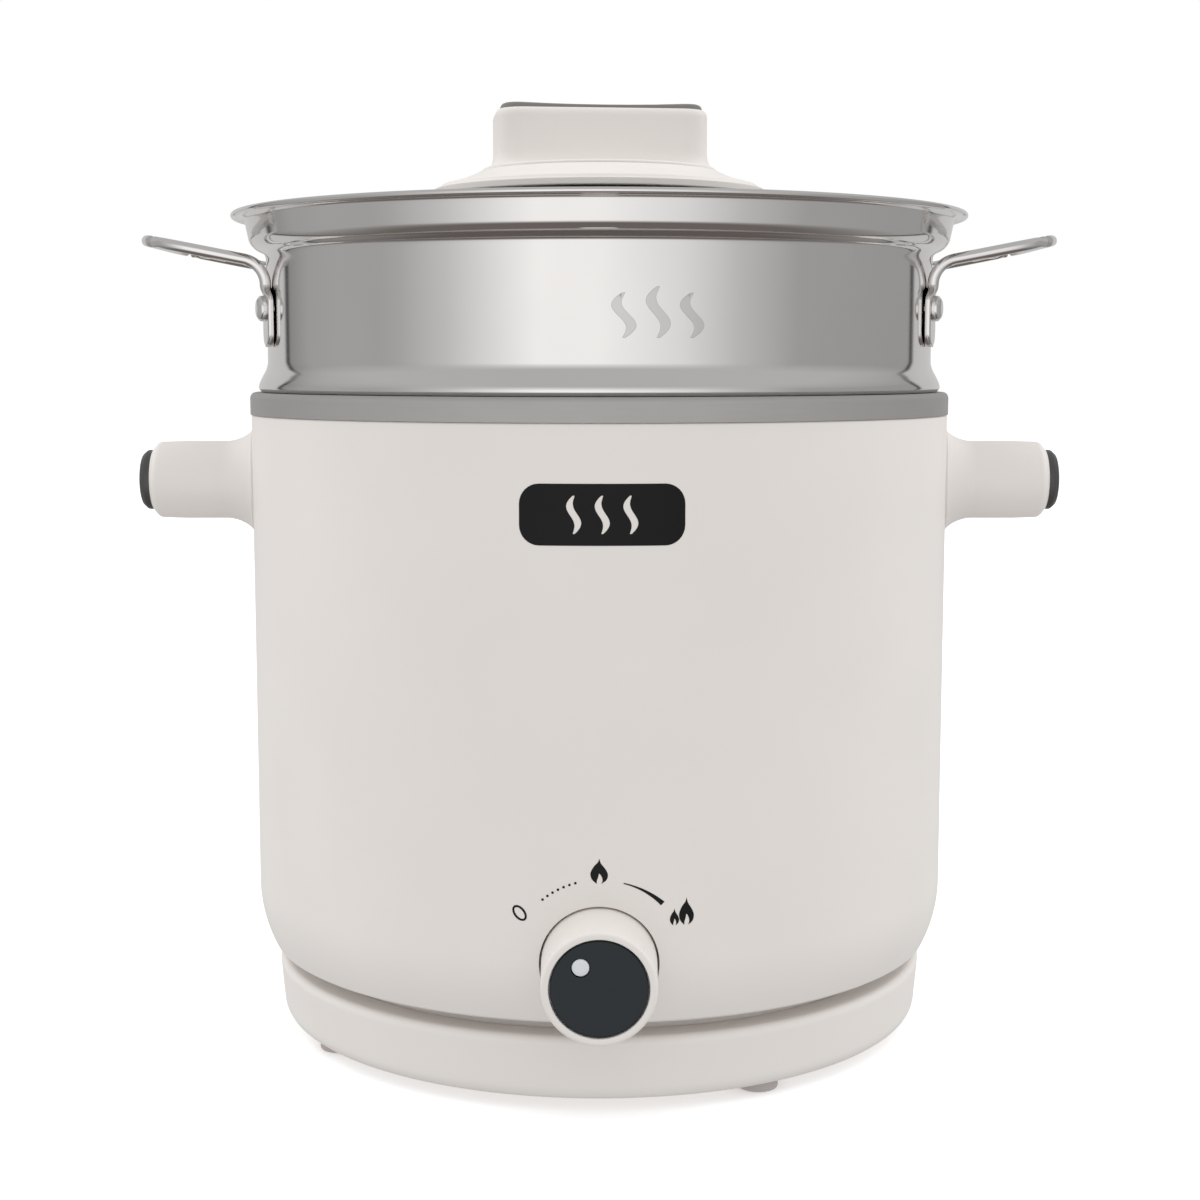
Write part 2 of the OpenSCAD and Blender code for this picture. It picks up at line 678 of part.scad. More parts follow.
module lid_gasket() color([0.15, 0.15, 0.15])
    turned(concat(
        [[44, foot_z], [26, foot_z]],
        [for (r = [26:6:44]) [r, dome_z(r) + 0.05]]
    ));

module lid_knob_foot() color([0.93, 0.91, 0.89]) turned([
    [2.5, foot_z + 1], [24, foot_z + 1], [24, foot_z], [44.6, foot_z], [44.6, foot_z - 0.9],
    [foot_r - 0.5, foot_z - 0.9], [foot_r, foot_z - 0.4], [foot_r, foot_z + 0.8], [foot_r - 0.5, foot_z + 1.2],
    [45.9, foot_z + 1.3], [45.4, foot_z + 2], [43.9, foot_z + 2.7], [40.3, foot_z + 3.6],
    [37.8, foot_z + 4.5], [36, foot_z + 5.3], [34.4, knob_z], [2.5, knob_z]
]);

module lid_knob() color([0.93, 0.91, 0.89]) rotate([0, 0, lid_knob_turn]) difference() {
    union() {
        turned([[0, knob_z], [33.6, knob_z], [33.6, knob_z + 0.6], [33, knob_z + 1.2], [0, knob_z + 1.2]]);
        translate([0, 0, knob_z]) linear_extrude(knob_top - knob_z - 1) round_rect(knob_w, knob_depth, 8);
        translate([0, 0, knob_top - 1.1]) linear_extrude(1.1) round_rect(knob_w - 1.4, knob_depth - 1.4, 7.3);
    }
    translate([0, 0, knob_top - 1.5]) linear_extrude(3) round_rect(knob_w - 2.6, knob_depth - 2.6, 6.7);
    translate([0, 0, knob_z - 1]) cylinder(r = 2.4 + slack, h = 14);
}

module lid_knob_insert() color([0.33, 0.33, 0.33]) rotate([0, 0, lid_knob_turn]) {
    translate([0, 0, knob_top - 1.5]) linear_extrude(2.2) round_rect(knob_w - 2.8, knob_depth - 2.8, 6.6);
    translate([0, 0, knob_top + 0.6]) linear_extrude(insert_top - knob_top - 0.6)
        round_rect(knob_w - 6, knob_depth - 6, 5);
}

module lid_washer() color("white") ring(8, 2.5, crown - glass_t - 1.3, 1.2);

module lid_screw() color("silver") translate([0, 0, crown - glass_t - 1.3]) {
    translate([0, 0, -3]) cylinder(r = 4.5, h = 3);
    cylinder(r = 2.4, h = 21);
}

outer_housing();
base_cover();
foot(0);  // foot_1
foot(1);  // foot_2
foot(2);  // foot_3
foot(3);  // foot_4
base_screws();
inner_pot();
rim_seal();
pot_studs();
clamp_ring();
clamp_nuts();
heating_plate();
heating_element();
element_insulators();
element_pins();
thermal_cutout();
cutout_bracket();
cutout_screws();
thermostat();
thermostat_nut();
thermostat_terminals();
power_inlet();
inlet_pins();
inlet_screws();
earth_tag();
thermal_fuse();
lead_live();
lead_switched();
lead_neutral();
lead_return();
lead_earth();
side_handle(180);  // left_handle
side_handle(0);  // right_handle
handle_cap(180);  // left_handle_cap
handle_cap(0);  // right_handle_cap
handle_screws();
knob_sleeve();
knob_cap();
knob_pointer();
thermostat_shaft();
knob_clip();
steamer_body();
steamer_handle(180);  // left_steamer_handle
steamer_handle(0);  // right_steamer_handle
steamer_rivets();
lid_glass();
lid_rim();
lid_vent();
lid_gasket();
lid_knob_foot();
lid_knob();
lid_knob_insert();
lid_washer();
lid_screw();
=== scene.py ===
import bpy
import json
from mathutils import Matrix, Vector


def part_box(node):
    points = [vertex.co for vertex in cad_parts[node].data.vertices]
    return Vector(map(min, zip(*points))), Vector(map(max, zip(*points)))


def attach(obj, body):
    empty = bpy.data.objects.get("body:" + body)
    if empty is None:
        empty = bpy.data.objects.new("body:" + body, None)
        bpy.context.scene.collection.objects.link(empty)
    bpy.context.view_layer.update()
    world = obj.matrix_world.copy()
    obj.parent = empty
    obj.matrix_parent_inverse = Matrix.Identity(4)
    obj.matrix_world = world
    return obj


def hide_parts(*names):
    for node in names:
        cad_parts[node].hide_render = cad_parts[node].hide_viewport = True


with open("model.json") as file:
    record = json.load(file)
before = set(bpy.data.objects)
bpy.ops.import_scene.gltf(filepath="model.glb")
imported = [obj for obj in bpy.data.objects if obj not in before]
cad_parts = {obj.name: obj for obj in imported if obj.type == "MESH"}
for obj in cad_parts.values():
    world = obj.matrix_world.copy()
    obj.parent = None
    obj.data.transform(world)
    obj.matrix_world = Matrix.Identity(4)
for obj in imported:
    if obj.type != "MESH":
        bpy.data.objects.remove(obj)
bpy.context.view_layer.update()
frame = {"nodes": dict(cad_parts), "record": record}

import json
from math import asin, ceil, cos, hypot, pi, radians, sin, sqrt, tan

import bmesh
import bpy
from mathutils import Matrix, Vector
from mathutils.bvhtree import BVHTree
from mathutils.geometry import delaunay_2d_cdt
from mathutils.interpolate import poly_3d_calc

# Lengths are in millimetres until a mesh is made, in the row frame: +Z up, front towards -Y.
MM = 0.001
scene = bpy.context.scene
record = frame["record"]
body_of_node = {n: b for b, nodes in record["behaviour"]["bodies"].items() for n in nodes}
slot_of_node = {part["node"]: part["material_slot"] for part in record["subparts"]}


def low(node):
    """Lowest corner of a CAD node, in millimetres."""
    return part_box(node)[0] / MM


def high(node):
    """Highest corner of a CAD node, in millimetres."""
    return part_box(node)[1] / MM


# Driving sizes, from the frame
BODY_R = 100.0
UNDER = high("base_cover").z                         # underside of the housing
BODY_TOP = high("outer_housing").z
BASE_Z = low("base_cover").z
BASE_TOP = UNDER - 4
BAND_TOP = high("inner_pot").z
BAND_R = high("inner_pot").x
POT_UNDER = low("inner_pot").z
POT_R = BODY_R - 6
NECK_R = BODY_R - 14
BASE_R = BODY_R - 5.4
BOSS_CIRCLE = BODY_R - 24
FOOT_CIRCLE = BODY_R - 16
DIAL_Z = (low("knob_sleeve").z + high("knob_sleeve").z) / 2
DIAL_R = (high("knob_sleeve").x - low("knob_sleeve").x) / 2
DIAL_FRONT = -low("knob_sleeve").y
DIAL_SEAT = BODY_R - 5.2
GRIP_Z = (low("right_handle_cap").z + high("right_handle_cap").z) / 2
GRIP_R = 11.25
GRIP_END = BODY_R + 30
CAP_END = high("right_handle_cap").x
INLET_Z = (low("power_inlet").z + high("power_inlet").z) / 2
INLET_FRONT = high("power_inlet").y
INLET_IN = low("power_inlet").y
PAD_Y = BODY_R + 1.5
NEST_Z = low("steamer_body").z
STEAM_R = BODY_R - 4.9
LIP_TOP = high("steamer_body").z
LIP_OUT = high("steamer_body").x
LIP_R = 0.8
WALL_Z = BAND_TOP + 8.1
WALL_TOP = LIP_TOP - LIP_R - 11.4
RIVET_Z = WALL_Z + 15
RIVET_ANGLE = 18.9
LOOP_TIP = high("right_steamer_handle").x
WIRE_R = 1.55
LOOP_HALF = 31.0                                     # half the width between a wire loop's legs
LOOP_BEND = 7.0
LOOP_CORNER = 14.0
LOOP_SLOPE = 11                                      # degrees
LOOP_RISE = 12.3                                     # from the rivets up to the loop
TONGUE_HALF = 4.5                                    # the flat foot of a wire leg
TONGUE_T = 0.9
GLASS_R = BODY_R - 5.5
GLASS_T = 3.6
DOME_RISE = 10.0
CROWN = LIP_TOP - LIP_R + 7.6
DOME_R = (GLASS_R ** 2 + DOME_RISE ** 2) / (2 * DOME_RISE)
DOME_C = CROWN - DOME_R
RIM_Z = CROWN - DOME_RISE
LEDGE_Z = low("lid_rim").z
FOOT_Z = low("lid_knob_foot").z + 0.9                # where the foot stands on its gasket
KNOB_Z = high("lid_knob_foot").z
KNOB_TOP = high("lid_knob").z
INSERT_TOP = high("lid_knob_insert").z
KNOB_TURN = 6.0
KNOB_W = 60.4
KNOB_D = 28.0


# ---- Camera ----

def make_camera():
    data = bpy.data.cameras.new("camera")
    data.lens = 61.5
    data.sensor_width = 36
    data.clip_start = 0.01
    data.clip_end = 60
    camera = bpy.data.objects.new("camera", data)
    camera.location = (0.0002, -0.600, 0.1914)
    camera.rotation_euler = (radians(83.38), 0, 0)
    scene.collection.objects.link(camera)
    scene.camera = camera


# ---- Outlines ----

def turn2(v, angle):
    return Vector((v[0] * cos(angle) - v[1] * sin(angle), v[0] * sin(angle) + v[1] * cos(angle)))


def arc(cx, cy, r, start, end, steps):
    """Points on an arc, angles in degrees."""
    angles = [radians(start + (end - start) * i / steps) for i in range(steps + 1)]
    return [(cx + r * cos(a), cy + r * sin(a)) for a in angles]


def fillet(before, corner, after, r, step=12):
    """Points of the arc that rounds one corner, with a holding point on the straight at each end."""
    p = Vector(corner)
    a, b = Vector(before) - p, Vector(after) - p
    room = 0.48 * min(a.length, b.length)
    half = a.angle(b) / 2
    reach = min(r / tan(half), room)
    r = reach * tan(half)
    a.normalize()
    b.normalize()
    centre = p + (a + b).normalized() * (r / sin(half))
    spoke = p + a * reach - centre
    turn = pi - 2 * half
    if spoke.x * (p + b * reach - centre).y - spoke.y * (p + b * reach - centre).x < 0:
        turn = -turn
    steps = max(2, ceil(abs(turn) / radians(step)))
    hold = min(0.3 * r, 0.6 * (room - reach))
    points = [centre + turn2(spoke, turn * i / steps) for i in range(steps + 1)]
    if hold > 0.02:
        points = [points[0] + a * hold, *points, points[-1] + b * hold]
    return [tuple(q) for q in points]


def rounded(corners, closed=True):
    """Outline through corners (x, y) or (x, y, fillet radius)."""
    out = []
    last = len(corners) - 1
    for i, c in enumerate(corners):
        if len(c) == 2 or (not closed and i in (0, last)):
            out.append(tuple(c[:2]))
        else:
            out += fillet(corners[i - 1][:2], c[:2], corners[(i + 1) % len(corners)][:2], c[2])
    return out


def rows(outline, longest):
    """The outline with its long straights split."""
    out = []
    for a, b in zip(outline, outline[1:] + outline[:1]):
        parts = max(1, ceil(hypot(b[0] - a[0], b[1] - a[1]) / longest))
        out += [(a[0] + (b[0] - a[0]) * i / parts, a[1] + (b[1] - a[1]) * i / parts)
                for i in range(parts)]
    return out


def offset(path, t):
    """The path moved by t to its left."""
    out = []
    for i, p in enumerate(path):
        last = len(path) - 1
        before = (path[max(i - 1, 0)], path[max(i, 1)])
        after = (path[min(i, last - 1)], path[min(i + 1, last)])
        m = Vector((0, 0))
        for a, b in (before, after):
            d = (Vector(b) - Vector(a)).normalized()
            m += Vector((-d.y, d.x))
        out.append(tuple(Vector(p) + m * 2 * t / m.dot(m)))
    return out


def curve(points, steps=5):
    """A smooth curve through the points."""
    ends = [points[0], *points, points[-1]]
    out = []
    for a, b, c, d in zip(ends, ends[1:], ends[2:], ends[3:]):
        for i in range(steps):
            t = i / steps
            w = (-0.5 * t + t * t - 0.5 * t ** 3, 1 - 2.5 * t * t + 1.5 * t ** 3,
                 0.5 * t + 2 * t * t - 1.5 * t ** 3, -0.5 * t * t + 0.5 * t ** 3)
            out.append(tuple(sum(k * p[j] for k, p in zip(w, (a, b, c, d))) for j in (0, 1)))
    return out + [tuple(points[-1])]


# ---- Meshes ----

def shade(mesh, sharp=32):
    mesh.shade_smooth()
    mesh.set_sharp_from_angle(angle=radians(sharp))


def make(name, points, faces, matrix=None, sharp=32):
    """A closed mesh object from points in millimetres."""
    matrix = matrix or Matrix.Identity(4)
    mesh = bpy.data.meshes.new(name)
    mesh.from_pydata([tuple(matrix @ Vector(p) * MM) for p in points], [], faces)
    bm = bmesh.new()
    bm.from_mesh(mesh)
    bmesh.ops.remove_doubles(bm, verts=bm.verts, dist=1e-6)
    bmesh.ops.dissolve_degenerate(bm, edges=bm.edges, dist=1e-7)
    bmesh.ops.recalc_face_normals(bm, faces=bm.faces)
    bm.to_mesh(mesh)
    bm.free()
    shade(mesh, sharp)
    obj = bpy.data.objects.new(name, mesh)
    scene.collection.objects.link(obj)
    return obj


def skin(rings, closed_path=False, caps=True):
    """Faces between rings of equally many point numbers, with flat caps at both ends of an open path."""
    faces = []
    pairs = list(zip(rings, rings[1:] + rings[:1])) if closed_path else list(zip(rings, rings[1:]))
    for a, b in pairs:
        for k in range(len(a)):
            n = (k + 1) % len(a)
            face = list(dict.fromkeys([a[k], a[n], b[n], b[k]]))
            if len(face) > 2:
                faces.append(face)
    if caps and not closed_path:
        faces += [list(reversed(rings[0])), rings[-1]]
    return faces


def lathe_data(outline, segments=192, closed=True):
    points, rings = [], []
    for r, z in outline:
        if r < 1e-6:
            rings.append([len(points)] * segments)
            points.append((0, 0, z))
        else:
            rings.append(list(range(len(points), len(points) + segments)))
            angles = [2 * pi * k / segments for k in range(segments)]
            points += [(r * cos(a), r * sin(a), z) for a in angles]
    return points, skin(rings, closed_path=closed, caps=False)


def lathe(name, outline, segments=192, closed=True, matrix=None, sharp=32):
    """Solid of revolution about Z of an outline of (radius, height)."""
    points, faces = lathe_data(outline, segments, closed)
    return make(name, points, faces, matrix, sharp)


def along_front(x=0, z=0):
    """Places a solid of revolution's axis along -Y."""
    return Matrix.Translation((x, 0, z)) @ Matrix.Rotation(radians(90), 4, "X")


def along_side(z, turned=0):
    """Places a solid of revolution's axis along +X, then turns it about the pot's axis, in degrees."""
    lying = Matrix.Translation((0, 0, z)) @ Matrix.Rotation(radians(90), 4, "Y")
    return Matrix.Rotation(radians(turned), 4, "Z") @ lying


def rect_ring(w, d, r, corner=8, straight=6):
    """Points round a rectangle with round corners; a circle when w, d and 2 r are the same."""
    out = []
    for q, (sx, sy) in enumerate([(1, 1), (-1, 1), (-1, -1), (1, -1)]):
        side = arc(sx * (w / 2 - r), sy * (d / 2 - r), r, 90 * q, 90 * q + 90, corner)
        length = (w if q % 2 == 0 else d) - 2 * r
        step = turn2((length / straight, 0), radians(90 * q + 180))
        out += side
        out += [(side[-1][0] + step.x * i, side[-1][1] + step.y * i) for i in range(1, straight)]
    return out


def loft_rects(name, levels, matrix=None, bend=None, caps=True, sharp=32):
    """Solid through round-cornered rectangles (width, depth, corner radius, height)."""
    points, rings = [], []
    for w, d, r, z in levels:
        ring = rect_ring(w, d, r)
        rings.append(list(range(len(points), len(points) + len(ring))))
        points += [(x, y, z + (bend(x, y, z) if bend else 0)) for x, y in ring]
    return make(name, points, skin(rings, caps=caps), matrix, sharp)


def rod(r, start, end, axis_matrix, segments=48):
    """A plain cylinder along the placed axis, for cutting."""
    return lathe("cutter", [(0, start), (r, start), (r, end), (0, end)], segments, matrix=axis_matrix)


def box(x0, x1, y0, y1, z0, z1, matrix=None):
    points = [(x, y, z) for z in (z0, z1) for x, y in ((x0, y0), (x1, y0), (x1, y1), (x0, y1))]
    return make("cutter", points, skin([[0, 1, 2, 3], [4, 5, 6, 7]]), matrix)


def combine(obj, others, operation):
    """Applies one exact boolean and keeps the true curvature where the old surface is left."""
    old = obj.data
    corners = [c.vector.copy() for c in old.corner_normals]
    tree = BVHTree.FromPolygons([v.co for v in old.vertices], [p.vertices for p in old.polygons])
    cutter = others[0]
    if len(others) > 1:
        with bpy.context.temp_override(active_object=cutter, selected_editable_objects=others):
            bpy.ops.object.join()
    modifier = obj.modifiers.new("cut", "BOOLEAN")
    modifier.operation = operation
    modifier.solver = "EXACT"
    modifier.object = cutter
    graph = bpy.context.evaluated_depsgraph_get()
    new = bpy.data.meshes.new_from_object(obj.evaluated_get(graph))
    obj.modifiers.clear()
    obj.data = new
    bpy.data.objects.remove(cutter)
    shade(new)
    normals = [c.vector.copy() for c in new.corner_normals]
    for face in new.polygons:
        for i in face.loop_indices:
            co = new.vertices[new.loops[i].vertex_index].co
            inside = co.lerp(face.center, 0.02)
            place, direction, index, distance = tree.find_nearest(inside)
            if distance > 3e-5 or direction.dot(face.normal) < 0.985:
                continue
            source = old.polygons[index]
            weights = poly_3d_calc([old.vertices[v].co for v in source.vertices], place)
            blended = sum((corners[k] * w for k, w in zip(source.loop_indices, weights)), Vector())
            if blended.length > 0.5:
                normals[i] = blended.normalized()
    new.normals_split_custom_set([tuple(n) for n in normals])
    return obj


def cut(obj, *cutters):
    return combine(obj, list(cutters), "DIFFERENCE")


def weld(obj, *others):
    return combine(obj, list(others), "UNION")


def joined(name, objects):
    """Several separate closed solids as one piece."""
    first = objects[0]
    if len(objects) > 1:
        with bpy.context.temp_override(active_object=first, selected_editable_objects=objects):
            bpy.ops.object.join()
    first.name = name
    first.data.name = name
    return first


def counterclockwise(loop):
    area = sum(a[0] * b[1] - b[0] * a[1] for a, b in zip(loop, loop[1:] + loop[:1]))
    return loop if area > 0 else list(reversed(loop))


def flat_faces(outer, holes=(), spacing=0):
    """Triangles of a flat shape with holes, as (points, triangles, loops of point numbers)."""
    loops, points = [], []
    for loop in map(counterclockwise, [outer, *holes]):
        loops.append(list(range(len(points), len(points) + len(loop))))
        points += [Vector(p) for p in loop]
    if spacing:
        xs, ys = [p[0] for p in outer], [p[1] for p in outer]
        nx, ny = int((max(xs) - min(xs)) / spacing), int((max(ys) - min(ys)) / spacing)
        points += [Vector((min(xs) + (i + 0.5) * spacing, min(ys) + (j + 0.5) * spacing))
                   for i in range(nx + 1) for j in range(ny + 1)]
    found = delaunay_2d_cdt(points, [], loops, 1, 1e-5)
    triangles = [f for f, origin in zip(found[2], found[5]) if origin and not any(o > 0 for o in origin)]
    number = {}
    for new, origins in enumerate(found[3]):
        for o in origins:
            number[o] = new
    return [tuple(p) for p in found[0]], triangles, [[number[i] for i in loop] for loop in loops]


def slab(shape, wrap, spacing=0):
    """Points and faces of a thin closed solid: wrap(x, y, side) places a flat point on side 0 or 1."""
    outer, *holes = shape
    flat, triangles, loops = flat_faces(outer, holes, spacing)
    count = len(flat)
    points = [wrap(x, y, side) for side in (0, 1) for x, y in flat]
    faces = [list(reversed(t)) for t in triangles] + [[i + count for i in t] for t in triangles]
    for loop in loops:
        for a, b in zip(loop, loop[1:] + loop[:1]):
            faces.append([a, b, b + count, a + count])
    return points, faces


def on_cylinder(r, sunk, proud):
    """Wraps a flat shape seen from the front on the front of a cylinder."""
    def wrap(x, z, side):
        radius = r + (proud if side else -sunk)
        return (radius * sin(x / r), -radius * cos(x / r), z)
    return wrap


def wrapped(name, shapes, r, sunk, proud, spacing=1.5):
    """Flat shapes as one piece on the front of a cylinder of radius r."""
    points, faces = [], []
    for shape in shapes:
        shape = [rows(loop, spacing) for loop in shape]
        p, f = slab(shape, on_cylinder(r, sunk, proud), spacing)
        faces += [[i + len(points) for i in face] for face in f]
        points += p
    return make(name, points, faces)


# ---- Materials ----

def linear(rgb):
    return tuple((c / 12.92 if c <= 0.04045 else ((c + 0.055) / 1.055) ** 2.4) for c in rgb)


def material(name, rgb, roughness, metallic=0.0, mottle=0.03, cloud=40, spread=0.05,
             grain=2500, bump=0.02, depth=0.02, stretch=(1, 1, 1), **sockets):
    """A procedural finish: slow colour clouds, a roughness that varies, and a fine grain in the bump.
    rgb is as seen on screen, cloud and grain are counts per metre, and depth is the grain's height in mm."""
    made = bpy.data.materials.new(name)
    made.use_nodes = True
    nodes, link = made.node_tree.nodes, made.node_tree.links.new
    shader = nodes["Principled BSDF"]
    place = nodes.new("ShaderNodeTexCoord")
    scale = nodes.new("ShaderNodeMapping")
    scale.inputs["Scale"].default_value = stretch
    link(place.outputs["Object"], scale.inputs["Vector"])

    clouds = nodes.new("ShaderNodeTexNoise")
    clouds.inputs["Scale"].default_value = cloud
    clouds.inputs["Detail"].default_value = 3
    link(place.outputs["Object"], clouds.inputs["Vector"])
    ramp = nodes.new("ShaderNodeValToRGB")
    base = linear(rgb)
    for stop, at, factor in zip(ramp.color_ramp.elements, (0.3, 0.7), (1 - mottle, 1 + mottle)):
        stop.position = at
        stop.color = (*(min(1.0, c * factor) for c in base), 1)
    link(clouds.outputs["Fac"], ramp.inputs["Fac"])
    link(ramp.outputs["Color"], shader.inputs["Base Color"])

    fine = nodes.new("ShaderNodeTexNoise")
    fine.inputs["Scale"].default_value = grain
    fine.inputs["Detail"].default_value = 2
    link(scale.outputs["Vector"], fine.inputs["Vector"])
    bumps = nodes.new("ShaderNodeBump")
    bumps.inputs["Strength"].default_value = bump
    bumps.inputs["Distance"].default_value = depth * MM
    link(fine.outputs["Fac"], bumps.inputs["Height"])
    link(bumps.outputs["Normal"], shader.inputs["Normal"])

    rough = nodes.new("ShaderNodeMapRange")
    rough.inputs["To Min"].default_value = max(0.0, roughness - spread)
    rough.inputs["To Max"].default_value = roughness + spread
    link(fine.outputs["Fac"] if stretch != (1, 1, 1) else clouds.outputs["Fac"], rough.inputs["Value"])
    link(rough.outputs["Result"], shader.inputs["Roughness"])
    shader.inputs["Metallic"].default_value = metallic
    for socket, value in sockets.items():
        shader.inputs[socket.replace("_", " ")].default_value = value
    return made


def make_finishes():
    """One finish for each material slot of the record, and three more: handle caps, prints, raised marks."""
    plastic = dict(cloud=25, mottle=0.012, spread=0.04, grain=3000, bump=0.10, depth=0.02)
    steel = dict(metallic=1.0, mottle=0.02, cloud=30)
    round_brush = dict(stretch=(1, 1, 60), grain=60)
    return {
        "cream_plastic": material("cream_plastic", (0.905, 0.885, 0.868), 0.40, **plastic),
        "grey_plastic": material("grey_plastic", (0.48, 0.465, 0.455), 0.42, **plastic),
        "cap_plastic": material("cap_plastic", (0.27, 0.265, 0.262), 0.42, **plastic),
        "dial_plastic": material("dial_plastic", (0.10, 0.135, 0.15), 0.34, Specular_IOR_Level=0.3,
                                 **plastic),
        "pointer_plastic": material("pointer_plastic", (0.86, 0.87, 0.88), 0.25, **plastic),
        "black_plastic": material("black_plastic", (0.13, 0.13, 0.135), 0.55, cloud=60, grain=1800,
                                  bump=0.3, depth=0.03),
        "ivory_plastic": material("ivory_plastic", (0.86, 0.83, 0.75), 0.5, **plastic),
        "foot_rubber": material("foot_rubber", (0.70, 0.665, 0.655), 0.75, cloud=120, grain=1500,
                                bump=0.3, depth=0.03),
        "seal_silicone": material("seal_silicone", (0.82, 0.82, 0.80), 0.6, cloud=80, grain=1200, bump=0.2),
        "gasket_silicone": material("gasket_silicone", (0.12, 0.12, 0.12), 0.6, cloud=80, grain=1200,
                                    bump=0.2),
        "satin_steel": material("satin_steel", (0.85, 0.842, 0.836), 0.8, spread=0.05, bump=0.25,
                                depth=0.006, **steel, **round_brush),
        "mirror_steel": material("mirror_steel", (0.885, 0.875, 0.868), 0.085, spread=0.03, bump=0.05,
                                 depth=0.003, **steel, **round_brush),
        "zinc_steel": material("zinc_steel", (0.80, 0.81, 0.82), 0.3, bump=0.2, depth=0.01, grain=900,
                               **steel),
        "element_steel": material("element_steel", (0.45, 0.43, 0.41), 0.5, bump=0.3, depth=0.02,
                                  grain=1200, **steel),
        "aluminium": material("aluminium", (0.80, 0.80, 0.81), 0.42, bump=0.4, depth=0.03, grain=800,
                              **steel),
        "terminal_brass": material("terminal_brass", (0.83, 0.74, 0.50), 0.3, bump=0.2, depth=0.01,
                                   grain=900, **steel),
        "ceramic": material("ceramic", (0.92, 0.91, 0.88), 0.6, cloud=150, grain=1600, bump=0.25),
        "lid_glass": material("lid_glass", (0.955, 0.98, 0.972), 0.02, mottle=0.008, cloud=15, spread=0.012,
                              grain=90, bump=0.02, depth=0.02, Transmission_Weight=1.0, IOR=1.5),
        "wire_brown": material("wire_brown", (0.42, 0.25, 0.15), 0.5, cloud=90, grain=1500, bump=0.2),
        "wire_black": material("wire_black", (0.10, 0.10, 0.10), 0.5, cloud=90, grain=1500, bump=0.2),
        "wire_blue": material("wire_blue", (0.16, 0.28, 0.58), 0.5, cloud=90, grain=1500, bump=0.2),
        "wire_green": material("wire_green", (0.22, 0.52, 0.24), 0.5, cloud=90, grain=1500, bump=0.2),
        "print": material("print", (0.045, 0.045, 0.048), 0.38, cloud=200, grain=3000, bump=0.08,
                          Specular_IOR_Level=0.2),
        "emboss": material("emboss", (0.80, 0.79, 0.785), 0.26, bump=0.3, depth=0.01, grain=1500, **steel),
    }


def dress(piece, finish):
    piece.data.materials.clear()
    piece.data.materials.append(finishes[finish])


def stands_for(piece, node):
    """The piece takes the CAD node's place: same body, same slot, same finish."""
    dress(piece, slot_of_node[node])
    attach(piece, body_of_node[node])
    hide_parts(node)
    return piece


def trim(piece, body, finish):
    """A print or a mark that rides on a body and stands for no CAD node."""
    dress(piece, finish)
    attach(piece, body)
    return piece


# ---- Housing and base ----

def housing():
    edge = arc(BODY_R - 37, UNDER + 17.7, 37, -27, 0, 16)
    liner = arc(BODY_R - 37, UNDER + 17.7, 34.5, 0, -26.1, 16)
    outline = rounded([
        (BODY_R - 38, UNDER, 0.4), (NECK_R - 2.5, UNDER), (NECK_R - 2.5, BASE_TOP - 5.3),
        (NECK_R, BASE_TOP - 5.3),
        (NECK_R, UNDER, 0.4), (BODY_R - 5.6, UNDER, 0.8), *edge, (BODY_R, BODY_TOP, 0.6),
        (BODY_R - 2.5, BODY_TOP, 0.3), *liner, (BODY_R - 38, UNDER + 2.5, 0.4)])
    shell = lathe("outer_housing_shell", rows(outline, 6), 256)
    envelope = lathe("envelope", rows([(0, UNDER + 0.3), (BODY_R - 5.6, UNDER + 0.3), *edge[1:],
                                       (BODY_R - 0.3, BODY_TOP - 90), (0, BODY_TOP - 90)], 6), 256)
    boss = combine(rod(19, DIAL_SEAT - 3, BODY_R + 1, along_front(z=DIAL_Z), 96), [envelope], "INTERSECT")
    pad = loft_rects("pad", [(54, 30, 2.5, BODY_R - 9), (54, 30, 2.5, PAD_Y - 0.8),
                             (53.5, 29.5, 2.3, PAD_Y - 0.25), (52.6, 28.6, 1.9, PAD_Y)], from_back())
    weld(shell, boss)
    weld(shell, pad)
    cut(shell, rod(DIAL_R + 0.5, DIAL_SEAT, BODY_R + 2, along_front(z=DIAL_Z), 128))
    cut(shell, rod(5.2, DIAL_SEAT - 5, DIAL_SEAT + 1, along_front(z=DIAL_Z), 48),
        box(-14.1, 14.1, BODY_R - 12, PAD_Y + 1, INLET_Z - 10.3, INLET_Z + 10.3))
    stands_for(shell, "outer_housing")


def from_back():
    """Places a loft so that its height runs along +Y at the inlet."""
    return Matrix.Translation((0, 0, INLET_Z)) @ Matrix.Rotation(radians(-90), 4, "X")


def at_polar(r, angle, z=0):
    return Matrix.Rotation(radians(angle), 4, "Z") @ Matrix.Translation((r, 0, z))


